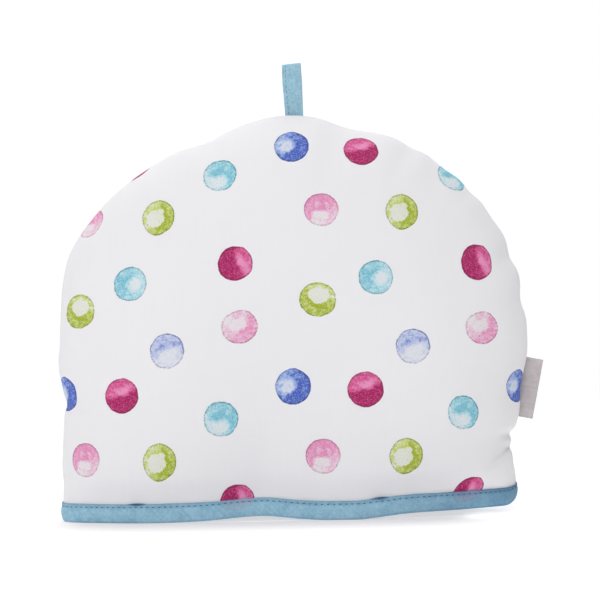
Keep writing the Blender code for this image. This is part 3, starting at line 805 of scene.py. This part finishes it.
BINDING_SECTION = chart(  # the tape folded round the hem: out from the panel's face, and up from the table
    "out up",
    (0.25, 12.1), (0.45, 12.5), (0.8, 12.55), (1.08, 12.3), (1.15, 11.8), (1.08, 11.1), (1.0, 10.4),
    (1.1, 9.7), (1.35, 8.6), (1.55, 7.0), (1.62, 5.2), (1.5, 3.4), (1.2, 1.8), (0.75, 0.7), (0.1, 0.12),
    (-0.8, 0.0), (-2.3, 0.0), (-3.7, 0.0), (-4.6, 0.12), (-5.25, 0.7), (-5.7, 1.8), (-5.95, 3.4),
    (-6.05, 5.2), (-6.0, 7.0), (-5.8, 8.6), (-5.6, 9.7), (-5.5, 10.4), (-5.58, 11.1), (-5.65, 11.8),
    (-5.58, 12.3), (-5.3, 12.55), (-4.95, 12.5), (-4.75, 12.1), (-4.75, 6.0), (-4.75, 1.25), (-2.3, 1.1),
    (0.25, 1.25), (0.25, 6.0),
)


def hem_half(side):
    """One panel's outer face at the hem, in plan, from its left end to its right one."""
    place = np.array([HEM_FOOT, EDGE_LENGTH - HEM_FOOT])
    edge = edge_at(place)
    rows = outer_rows(side, place, np.array([HEM_FOOT, HEM_FOOT]), abs(edge[:, 0]))
    left = together(edge[0, 0] + rows[0, :, 0], side * rows[0, :, 1])
    right = together(edge[1, 0] - rows[1, :, 0], side * rows[1, :, 1])
    return np.concatenate([left, right[-2::-1]])


def even_ring(points, step):
    """A closed line's points at even steps: where they lie, and the way out at each of them."""
    closed = np.vstack([points, points[:1]])
    along = run_along(closed)
    count = int(round(along[-1] / step))
    places = along[-1] * np.arange(count) / count
    ring = together(*(np.interp(places, along, closed[:, i]) for i in (0, 1)))
    reach = 3
    run = unit(np.roll(ring, -reach, axis=0) - np.roll(ring, reach, axis=0))
    return places, ring, together(run[:, 1], -run[:, 0])


front_line, back_line = hem_half(FRONT), hem_half(BACK)
front_line[[0, -1], 1] = 0.0  # the tape runs on across the seam
HEM_LINE = np.concatenate([front_line, back_line[-2:0:-1]])
TAPE_PLACES, TAPE_RING, TAPE_OUTWARD = even_ring(HEM_LINE, TAPE_STEP)
TAPE_LENGTH = TAPE_STEP * len(TAPE_PLACES)


def tape_at(place, values):
    """A value of the hem's ring at a distance along it."""
    return together(*(np.interp(place, TAPE_PLACES, values[:, i], period=TAPE_LENGTH) for i in (0, 1)))


def front_place(x):
    """The distance along the ring of the front's point at this X."""
    front = TAPE_RING[:, 1] < -1
    return TAPE_PLACES[front][np.argmin(abs(TAPE_RING[front, 0] - x))]


def gape_share(place):
    """1 where the tape's upper edge gapes most, 0 where it lies on the panel."""
    return sum(bump(place - front_place(gape.x), gape.half_width) for gape in GAPES)


def tape_relief(place, out, up):
    """How far the tape stands off its even section: stitch dimples, the lap, the gape and small rumples."""
    outside = smooth((out + 1.5) / 1.5)
    stitch = 0.5 + 0.5 * np.cos(2 * math.pi * place / STITCH_PITCH)
    dimple = DIMPLE_DEPTH * (DIMPLE_BETWEEN + (1 - DIMPLE_BETWEEN) * stitch)
    dimple = dimple * bump(up - STITCH_HEIGHT, DIMPLE_HALF)
    rumple = RUMPLE_HEIGHT * Ripple(51, 9)(place, up * 0.6)
    rumple = rumple + FINE_RUMPLE_HEIGHT * Ripple(52, 3.5)(place + 0.5 * up, up * 0.25)
    rumple = rumple * bump(up - RUMPLE_MIDDLE, RUMPLE_HALF)
    past = place - front_place(LAP_X) - LAP_SLANT * up
    lap = LAP_RAISE * smooth(past / LAP_STEP) * smooth((LAP_LENGTH - past) / LAP_FADE)
    gape = GAPE_OUT * gape_share(place) * smooth((up - GAPE_FROM) / GAPE_OVER)
    return (rumple - dimple + lap * smooth(up / 1.5)) * (2 * outside - 1) + gape * outside


def binding_points(place, out, up):
    """Stands points of the tape up in space, from where they lie along, out from and up the hem."""
    x, y = np.moveaxis(tape_at(place, TAPE_RING) + tape_at(place, TAPE_OUTWARD) * out[..., None], -1, 0)
    in_front = tape_at(place, TAPE_RING)[..., 1] < 0
    waves = [hem_wave(side, x, up) for side in (FRONT, BACK)]
    outward, lift = [np.where(in_front, front, back) for front, back in zip(*waves)]
    y = y + np.where(in_front, -1, 1) * outward * smooth(abs(y) / WAVE_DEPTH)
    return together(x - end_draw(x, up) + BODY_SHIFT, y, up + lift)


def print_above_tape(side):
    """The panel's cloth just above the tape, from left to right: its X, and where it lies in the print."""
    outside, _, flat, _ = panel_rows(side)
    left, right = ROW_ABOVE_TAPE, -1 - ROW_ABOVE_TAPE
    x = np.concatenate([outside[left, :, 0], outside[right, ::-1, 0]])
    print_place = np.concatenate([flat[left], flat[right, ::-1]])
    return np.maximum.accumulate(x), print_place


def print_under_tape(points, up):
    """Where the tape's points lie over the print of the panel under them."""
    found = []
    for side in (FRONT, BACK):
        x, print_place = print_above_tape(side)
        right, above = (np.interp(points[..., 0], x, print_place[:, i]) for i in (0, 1))
        found.append(together(right, above + UNDER_SQUEEZE * (up - HEM_RISES[ROW_ABOVE_TAPE])))
    return np.where(points[..., 1:2] < 0, *found)


def make_binding():
    out, up = np.array(BINDING_SECTION).T
    place = np.repeat(TAPE_PLACES[:, None], len(up), axis=1)
    relief = tape_relief(place, out, up)
    relief[:, -WALL_POINTS:] = 0
    outside = out > TAPE_MIDDLE
    gaping = gape_share(place) * outside * smooth((up - GAPE_EDGE_FROM) / GAPE_EDGE_OVER)
    wander = TOP_WANDER * Ripple(53, 11)(place) * smooth((up - WANDER_FROM) / WANDER_OVER)
    top = wander + GAPE_RISE * gaping
    # painted shade on the tape: above the stitches, at the top fold and at the foot
    painted_shade = sum(shade.share * smooth((up - shade.start) / shade.run) for shade in FOLD_SHADES)
    points = binding_points(place, out + relief, up + top)
    # painted shade, more towards the tape's right end
    painted_shade = painted_shade + RIGHT_PAINTED_SHADE * smooth((points[..., 0] - RIGHT_FROM) / RIGHT_RUN)
    # painted shade inside each gape of the tape's upper edge
    painted_shade = np.maximum(painted_shade, smooth(GAPE_SHADE * gaping))
    round_section = np.append(0, np.cumsum(np.hypot(np.diff(out), np.diff(up))))
    flat = together(place, np.repeat(round_section[None], len(place), axis=0))
    under = print_under_tape(points, up)
    numbers = np.pad(np.arange(place.size).reshape(place.shape), ((0, 1), (0, 1)), mode="wrap")
    marks = {"cloth": flat.reshape(-1, 2), "print_under": under.reshape(-1, 2), "painted_shade": painted_shade.ravel()}
    return finish_mesh("bias_bound_hem", points.reshape(-1, 3), grid_faces(numbers).tolist(), **marks)


def make_tape_cotton(name, deep, light, bias=0.0, show_through=0.0):
    """Cotton tape in one colour: a close plain weave, uneven dyeing, painted shade in the weave's hollows,
    and painted shade on its folds where the mesh's mark says.
    """
    cotton, shader, tree = new_material(name, 0.86, sheen=0.15)
    flat = laid_flat(tree, "cloth")
    height, slub = (flat.turned(math.radians(bias)) * (1 / TAPE_THREAD)).group(plain_weave)
    dyed = flat.noise(0.5, 2.0) * 0.5 + flat.noise(0.12, 2.0) * 0.5
    colour = (dyed * 0.7 + slub * 0.3).ease(0.36, 0.64).blend(deep, light)
    # painted shade in the weave's hollows
    colour = height.ease(0.0, 0.6, 0.14, 0.0).blend(colour, deep)
    # the tape's painted shade, taken from the mesh's mark
    colour = mark(tree, "painted_shade").blend(colour, PAINTED_SHADE_BLUE)
    if show_through:
        ink, paint = laid_flat(tree, "print_under").group(watercolour_spots)
        _, green, _ = paint.parts()
        strong = ink * green.ease(0.15, 0.5, show_through, 0.0)
        colour = strong.blend(colour, paint * 0.85)
    feed(shader["Base Color"], colour)
    weave_surface(shader, height, 0.92, 0.78)
    return cotton


BINDING_DEEP, BINDING_LIGHT = (0.26, 0.495, 0.645, 1), (0.395, 0.65, 0.805, 1)

blue_binding = make_tape_cotton("light blue bias binding", BINDING_DEEP, BINDING_LIGHT, 45, 0.15)
binding = make_binding()
binding.data.materials.append(blue_binding)
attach(binding, "root")
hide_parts("hem_binding")

# ========================================
# The top-stitching: one row of lockstitch in dark blue thread through the tape and both panels, close to
# the tape's upper edge. It shows as short dashes, sunk at their ends, outside and inside the hem alike.
STITCH_LENGTH, THREAD_THICK = 0.8, 0.56
STITCH_ENDS = chart("drop thinner", (0.05, 0.86), (0.16, 0.6))  # each step of an end, sinking into the cloth
END_STEP = 0.22
STITCH_STANDS_OUT = 0.10  # how far a stitch's middle line lies off the tape


def deselect():
    for piece in bpy.context.selected_objects:
        piece.select_set(False)


def pick(mesh, kind, chosen):
    """Selects only these faces or edges of a mesh that is being edited."""
    bpy.ops.mesh.select_all(action="DESELECT")
    bm = bmesh.from_edit_mesh(mesh)
    for part in getattr(bm, kind):
        part.select_set(chosen(part))
    bmesh.update_edit_mesh(mesh)


def model_stitch():
    """One stitch along X: a short round thread, thinner and sunk at both ends."""
    deselect()
    bpy.ops.mesh.primitive_cylinder_add(
        vertices=6,
        radius=THREAD_THICK / 2 * MM,
        depth=STITCH_LENGTH * MM,
        rotation=(0, math.radians(90), 0),
    )
    stitch = bpy.context.object
    bpy.ops.object.transform_apply(location=False, rotation=True, scale=False)
    bpy.ops.object.mode_set(mode="EDIT")
    for end in (-1, 1):
        pick(stitch.data, "faces", lambda face: face.normal.x * end > 0.9)
        for step in STITCH_ENDS:
            move = (end * END_STEP * MM, 0, -step.drop * MM)
            bpy.ops.mesh.extrude_region_move(TRANSFORM_OT_translate={"value": move})
            bpy.ops.transform.resize(value=(1, step.thinner, step.thinner))
    bpy.ops.object.mode_set(mode="OBJECT")
    bpy.ops.object.shade_smooth()
    return stitch


def lay_stitches(stitch, name, seats):
    """Copies of the stitch joined into one piece. A seat is its middle, its way along and its way out."""
    stitch_points = np.array([vert.co for vert in stitch.data.vertices]) / MM
    stitch_faces = [list(face.vertices) for face in stitch.data.polygons]
    points, faces = [], []
    for middle, along, outward in seats:
        along = unit(along)
        outward = unit(outward - along * np.dot(along, outward))
        turn = np.stack([along, np.cross(outward, along), outward])
        faces += [[number + len(points) * len(stitch_points) for number in face] for face in stitch_faces]
        points.append(middle + stitch_points @ turn)
    mesh = bpy.data.meshes.new(name)
    mesh.from_pydata((np.concatenate(points) * MM).tolist(), [], faces)
    mesh.shade_smooth()
    return place_object(name, mesh)


def hem_seats(out):
    """Where the hem's stitches lie, on the outside or the inside of the tape."""
    count = int(TAPE_LENGTH / STITCH_PITCH)
    place = (np.arange(count) + 0.5) * STITCH_PITCH
    face = 1 if out > TAPE_MIDDLE else -1

    def at(shift, off):
        where = place + shift
        up = np.full(count, STITCH_HEIGHT)
        relief = tape_relief(where, np.full(count, out), up)
        return binding_points(where, out + relief + off, up)

    middle = at(0.0, face * STITCH_STANDS_OUT)
    along = at(STITCH_LENGTH / 2, 0.0) - at(-STITCH_LENGTH / 2, 0.0)
    return zip(middle, along, at(0.0, face) - at(0.0, 0.0))


def make_thread(name, deep, light):
    thread, shader, tree = new_material(name, 0.6, sheen=0.1)
    place = add_node(tree, "TexCoord", output="Object") * (1 / MM)
    ply = place.into("TexWave", 1.6, output=1, wave_type="BANDS", bands_direction="DIAGONAL")
    tone = place.noise(0.8, 2.0) * 0.6 + ply * 0.4
    feed(shader["Base Color"], tone.blend(deep, light))
    raise_bump(shader, ply, 0.04)
    return thread


dark_thread = make_thread("dark blue sewing thread", (0.01, 0.08, 0.22, 1), (0.035, 0.16, 0.36, 1))
blue_thread = make_thread("mid blue sewing thread", (0.10, 0.26, 0.40, 1), (0.18, 0.38, 0.52, 1))
one_stitch = model_stitch()
outer_seats, inner_seats = hem_seats(1.0), hem_seats(-5.5)
top_stitching = lay_stitches(one_stitch, "hem_top_stitching", list(outer_seats) + list(inner_seats))
top_stitching.data.materials.append(dark_thread)
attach(top_stitching, "root")

# ========================================
# The hanging loop: a length of the same blue cotton, folded lengthways into a half-inch tape and edge
# stitched, doubled over and sewn into the seam at the crown. It leans a little to the left.
LOOP_LEAN, LOOP_SLANT = -0.035, 0.085
LOOP_THICK = 1.15
LOOP_SWAY, LOOP_STEP = 0.25, 0.8
EDGE_STITCH_IN, EDGE_STITCH_OUT = 0.32, 0.33  # shares of the loop's width and thickness from its middle
EDGE_STITCH_FIRST, EDGE_STITCH_FINE, EDGE_STITCH_EVERY = 1.2, 0.4, 9  # one at every ninth fine step

LOOP_LEG = chart(  # the front leg from inside the seam to the fold at the top, by the length of tape
    "along rise out width_share",
    (-7, -8, 0.75, 0.94), (0, -1, 0.75, 0.94), (5, 4, 1.1, 0.95), (10.1, 9, 2.1, 0.98),
    (15.3, 14, 3.3, 1.0), (20.4, 19, 4.2, 1.02), (25.4, 24, 4.6, 1.02), (29.4, 28, 4.4, 1.01),
    (32.9, 31.4, 3.6, 1.0), (35.6, 33.6, 2.05, 1.0), (37.8, 34.4, 0.0, 1.0),
)
LOOP_TOP = LOOP_LEG[-1].along
LOOP_PATH = LOOP_LEG + [  # and down the back, the same
    row._replace(along=2 * LOOP_TOP - row.along, out=-row.out) for row in LOOP_LEG[-2::-1]
]

STITCHED_SECTION = chart(  # shares of the tape's width across it, and of its thickness off its middle
    "share off",
    (-0.5, 0.0), (-0.495, 0.28), (-0.475, 0.45), (-0.43, 0.52), (-0.385, 0.48), (-0.35, 0.42),
    (-0.32, 0.34), (-0.29, 0.42), (-0.22, 0.50), (0.0, 0.53), (0.16, 0.52), (0.32, 0.49), (0.42, 0.50),
    (0.475, 0.44), (0.495, 0.26), (0.5, 0.0),
)


def sweep_tape(name, middles, across, outward, section, thickness):
    """A tape swept along its middle line. across is its whole width, and outward the way off its face."""
    around = section + [point._replace(off=-point.off) for point in section[-2:0:-1]]
    shares, offs = np.array(around).T
    offs = offs * thickness
    points = middles[:, None] + across[:, None] * shares[:, None] + outward[:, None] * offs[:, None]
    along = run_along(middles)
    on_face = np.arange(len(around)) < len(section)
    flat_across = np.linalg.norm(across, axis=1)[:, None] * np.where(on_face, shares, 2 - shares)
    flat = together(flat_across, np.repeat(along[:, None], len(around), axis=1))
    numbers = np.arange(points.shape[0] * points.shape[1]).reshape(points.shape[:2])
    faces = grid_faces(np.hstack([numbers, numbers[:, :1]])).tolist()
    faces += [numbers[0].tolist(), numbers[-1, ::-1].tolist()]
    return finish_mesh(name, points.reshape(-1, 3), faces, cloth=flat.reshape(-1, 2))


def loop_line(along):
    """The loop's middle line at these lengths of tape, with its way across and its way out."""
    crest = edge_at(LOOP_PLACE)[1]
    rise, out = read_table(LOOP_PATH, along, "rise"), read_table(LOOP_PATH, along, "out")
    width = LOOP_WIDTH * read_table(LOOP_PATH, along, "width_share")
    slant = LOOP_SLANT * smooth(rise / LOOP_LEG[-1].rise)
    sway = LOOP_SWAY * Ripple(61, 14)(along)
    middles = together(LOOP_X + BODY_SHIFT + LOOP_LEAN * rise + sway, -out, crest + rise)
    across = width[:, None] * together(np.ones_like(slant), 0 * slant, slant)
    outward = np.cross(across, np.gradient(middles, axis=0))
    return middles, across, unit(outward)


def loop_seats(face):
    """Where the loop's edge stitches lie, on the outside or the inside of the tape."""
    along = np.arange(EDGE_STITCH_FIRST, 2 * LOOP_TOP, EDGE_STITCH_FINE)
    middles, across, outward = loop_line(along)
    line = middles - EDGE_STITCH_IN * across + face * outward * (EDGE_STITCH_OUT * LOOP_THICK + 0.12)
    way = np.gradient(line, axis=0)
    picked = slice(EDGE_STITCH_EVERY // 2, None, EDGE_STITCH_EVERY)
    return list(zip(line[picked], way[picked], face * outward[picked]))


tape_lengths = np.arange(LOOP_PATH[0].along, LOOP_PATH[-1].along + 0.01, LOOP_STEP)
loop = sweep_tape("doubled_hanging_loop", *loop_line(tape_lengths), STITCHED_SECTION, LOOP_THICK)
blue_loop = make_tape_cotton("light blue loop tape", (0.27, 0.49, 0.61, 1), (0.41, 0.65, 0.775, 1))
loop.data.materials.append(blue_loop)
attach(loop, "root")
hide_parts("hanging_loop")

edge_stitching = lay_stitches(one_stitch, "loop_edge_stitching", loop_seats(1) + loop_seats(-1))
edge_stitching.data.materials.append(blue_thread)
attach(edge_stitching, "root")
bpy.data.objects.remove(one_stitch)

# ========================================
# The side tab: a short piece of soft cream ribbed tape, woven with firm edges, folded once and sewn into
# the right side seam by both its ends. It is blank.
TAB_WIDTH, TAB_THICK = 17.0, 0.42
TAB_RIB = 0.3
CURL_BACK, CURL_FORWARD, CURL_REACH = 0.9, 0.5, 11.0  # the curl of its upper corner, and of its lower one

TAB_FOLDED = chart(  # from the end sewn in at the front, round the fold, to the end at the back
    "along far depth",
    (0, 17.0, -0.38), (4, 13.0, -0.38), (9, 8.0, -0.55), (13, 4.0, -0.75), (15.6, 1.4, -0.68),
    (16.6, 0.45, -0.40), (17.1, 0.2, 0.0), (17.6, 0.45, 0.40), (18.6, 1.4, 0.62), (21.2, 4.0, 0.62),
    (25.2, 8.0, 0.48), (30.2, 13.0, 0.38), (34.2, 17.0, 0.38),
)
EDGE_CORD = ((-0.5, 0.0), (-0.497, 0.36), (-0.485, 0.55), (-0.465, 0.58), (-0.44, 0.48))
SELVEDGE_SECTION = chart(
    "share off",
    *EDGE_CORD,
    *[(share, 0.48) for share in np.linspace(-0.4, 0.4, 17)],
    *[(-share, off) for share, off in EDGE_CORD[::-1]],
)


def make_tab():
    along = np.concatenate([np.arange(0, 15, 1.0), np.arange(15, 19.2, 0.3), np.arange(19.2, 34.3, 1.0)])
    far, depth = read_table(TAB_FOLDED, along, "far"), read_table(TAB_FOLDED, along, "depth")
    run = TAB_HEAD - TAB_FOOT
    inward = np.array([-run[1], run[0]]) / TAB_LENGTH
    x, z = np.moveaxis(TAB_FOOT + run / 2 + far[:, None] * inward, -1, 0)
    middles = together(x + BODY_SHIFT, depth, z)
    across = np.repeat([[run[0], 0.0, run[1]]], len(along), axis=0)
    outward = unit(np.cross(across, np.gradient(middles, along, axis=0)))
    tab = sweep_tape("blank_side_tab", middles, across, outward, SELVEDGE_SECTION, TAB_THICK)
    for vert in tab.data.vertices:  # a free tape doesn't stay flat: its free corners curl a little
        beside, above = vert.co.x / MM - BODY_SHIFT - TAB_FOOT[0], vert.co.z / MM - TAB_FOOT[1]
        up = beside * run[0] + above * run[1]
        from_seam = (beside - run[0] * up / TAB_LENGTH**2) * -1
        up, out = up / TAB_LENGTH**2, smooth(1 - from_seam / CURL_REACH)
        curled = CURL_BACK * out * smooth((up - 0.55) / 0.45) - CURL_FORWARD * out * bump(up - 0.25, 0.25)
        vert.co.y += curled * MM
    return tab


def make_woven_tab_cotton():
    woven, shader, tree = new_material("cream woven tab", 0.8, sheen=0.1)
    flat = laid_flat(tree, "cloth")
    height, slub = (flat * (0.5 / TAB_RIB, 1 / TAB_RIB, 0.0)).group(plain_weave)
    tone = flat.noise(0.25, 3.0) * 0.5 + slub * 0.5
    colour = tone.ease(0.3, 0.7).blend((0.54, 0.49, 0.495, 1), (0.65, 0.595, 0.60, 1))
    # painted shade in the weave's hollows
    colour = height.ease(0.0, 0.5, 0.3, 0.0).blend(colour, (0.42, 0.39, 0.36, 1))
    feed(shader["Base Color"], colour)
    weave_surface(shader, height, 0.88, 0.7, 0.06)
    return woven


tab = make_tab()
tab.data.materials.append(make_woven_tab_cotton())
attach(tab, "root")
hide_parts("side_tab")

# ========================================
# The table: a wide pale sheet that runs on from under the cosy and curves up behind it, lit softly from
# all round, and a little more from the upper left. The sheet also glows, with a painted shadow along the
# front of the hem. The camera stands low and far off.
FLOOR_HALF, SWEEP_BACK, SWEEP_RADIUS = 7.0, 2.2, 1.0
LIGHT_AIM = Vector((0, 0, 0.12))
SOFTBOXES = chart(
    "name place size strength",
    ("upper left softbox", (-0.7, -2.4, 2.4), 2.0, 26),
    ("high softbox", (-0.4, -1.6, 3.0), 2.0, 18),
    ("front softbox", (-0.4, -2.9, 1.5), 1.6, 6),
    ("overhead softbox", (0.15, 0.3, 2.4), 2.4, 18),
    ("back softbox", (-0.3, 1.5, 2.0), 1.6, 2.5),
)
HEM_HALF, HEM_BOW, SHADE_REACH = 156.0, 44.0, 110.0  # the hem's bow to the front, and the width of the shadow painted on the paper


def turns_up(edge):
    """True for the edge where the table's sheet turns up behind the cosy."""
    return all(vert.co.y > SWEEP_BACK - 0.01 and vert.co.z < 0.01 for vert in edge.verts)


def make_table():
    deselect()
    bpy.ops.mesh.primitive_plane_add(size=2 * FLOOR_HALF, location=(0, SWEEP_BACK - FLOOR_HALF, 0))
    table = bpy.context.object
    table.name = "pale_table"
    bpy.ops.object.transform_apply(location=True, rotation=False, scale=False)
    bpy.ops.object.mode_set(mode="EDIT")
    pick(table.data, "edges", turns_up)
    bpy.ops.mesh.extrude_region_move(TRANSFORM_OT_translate={"value": (0, 0, 2 * FLOOR_HALF)})
    pick(table.data, "edges", turns_up)
    bpy.ops.mesh.bevel(offset=SWEEP_RADIUS, segments=24, affect="EDGES")
    bpy.ops.object.mode_set(mode="OBJECT")
    bpy.ops.object.shade_smooth()
    return table


def make_paper():
    """White paper that glows in place of light from behind, with a soft painted shadow along the front of the
    hem and painted light under the right end of the hem.
    """
    paper, shader, tree = new_material("white paper sweep", 0.9)
    place = add_node(tree, "TexCoord", output="Object")
    tint = place.noise(6.0, 2.0).blend((0.55, 0.55, 0.555, 1), (0.58, 0.58, 0.585, 1))
    feed(shader["Base Color"], tint)
    across, back, _ = (place * (1 / MM)).parts()
    share = (across * (1 / HEM_HALF) + -BODY_SHIFT / HEM_HALF).maths("ABSOLUTE")
    hem_front = share.maths("POWER", 4.0) * HEM_BOW + -HEM_BOW
    before = hem_front - back
    # a painted shadow in the paper's glow, along the front of the hem
    shade = before.ease(0, SHADE_REACH, 1, 0).maths("MINIMUM", before.ease(-110, -80))
    for value, *eased in (
        (before, -10, 4, 0.3, 1.0),  # less of it behind the hem's front
        (share, 0.85, 1.1, 1.0, 0.0),  # and none beside the cosy
        (across, 85, 150, 1.0, 0.0),  # or at its right, where the hem is well off the table
    ):
        shade = shade * value.ease(*eased)
    # the paper glows, darker where the shadow is painted
    glow = shade.blend((0.65, 0.652, 0.66, 1), (0.28, 0.272, 0.292, 1))
    # painted light: a brighter glow on the paper under the raised right end of the hem
    painted_light = before.ease(-45, -8).maths("MINIMUM", before.ease(5, 45, 1, 0)) * across.ease(98, 122)
    feed(shader["Emission Color"], painted_light.blend(glow, (0.86, 0.865, 0.87, 1)))
    shader["Emission Strength"].default_value = 1.0
    return paper


def add_softbox(name, place, size, strength):
    light = bpy.data.lights.new(name, "AREA")
    light.shape = "DISK"
    light.size = size
    light.energy = strength
    lamp = place_object(name, light)
    lamp.location = place
    lamp.rotation_euler = (LIGHT_AIM - Vector(place)).to_track_quat("-Z", "Y").to_euler()


table = make_table()
table.data.materials.append(make_paper())

sky = bpy.data.worlds.new("white tent")
sky.use_nodes = True
backdrop_light = sky.node_tree.nodes["Background"].inputs
rightward, _, upward = add_node(sky.node_tree, "TexCoord", output="Generated").parts()
darker_right = (upward * -0.4 + rightward).ease(-0.2, 0.9)
feed(backdrop_light["Color"], darker_right.blend((0.98, 0.99, 1.0, 1), (0.12, 0.10, 0.12, 1)))
backdrop_light["Strength"].default_value = 0.264
bpy.context.scene.world = sky
for softbox in SOFTBOXES:
    add_softbox(*softbox)
bpy.context.scene.view_settings.view_transform = "Standard"

CAMERA_AWAY, SENSOR_WIDTH = 1.7, 36
CAMERA_PLACE, CAMERA_AIM = Vector((0, -CAMERA_AWAY, 0.13)), Vector((0, 0, 0.1445))
FRAME_WIDTH, CAMERA_ROLL = 0.402, -1.2  # the width that the picture takes in at the cosy, and its tilt

camera_data = bpy.data.cameras.new("camera")
camera_data.sensor_width = SENSOR_WIDTH
camera_data.lens = SENSOR_WIDTH * CAMERA_AWAY / FRAME_WIDTH
camera = place_object("camera", camera_data)
look = (CAMERA_AIM - CAMERA_PLACE).to_track_quat("-Z", "Y").to_matrix().to_4x4()
roll = Matrix.Rotation(math.radians(CAMERA_ROLL), 4, "Z")
camera.matrix_world = Matrix.Translation(CAMERA_PLACE) @ look @ roll
bpy.context.scene.camera = camera
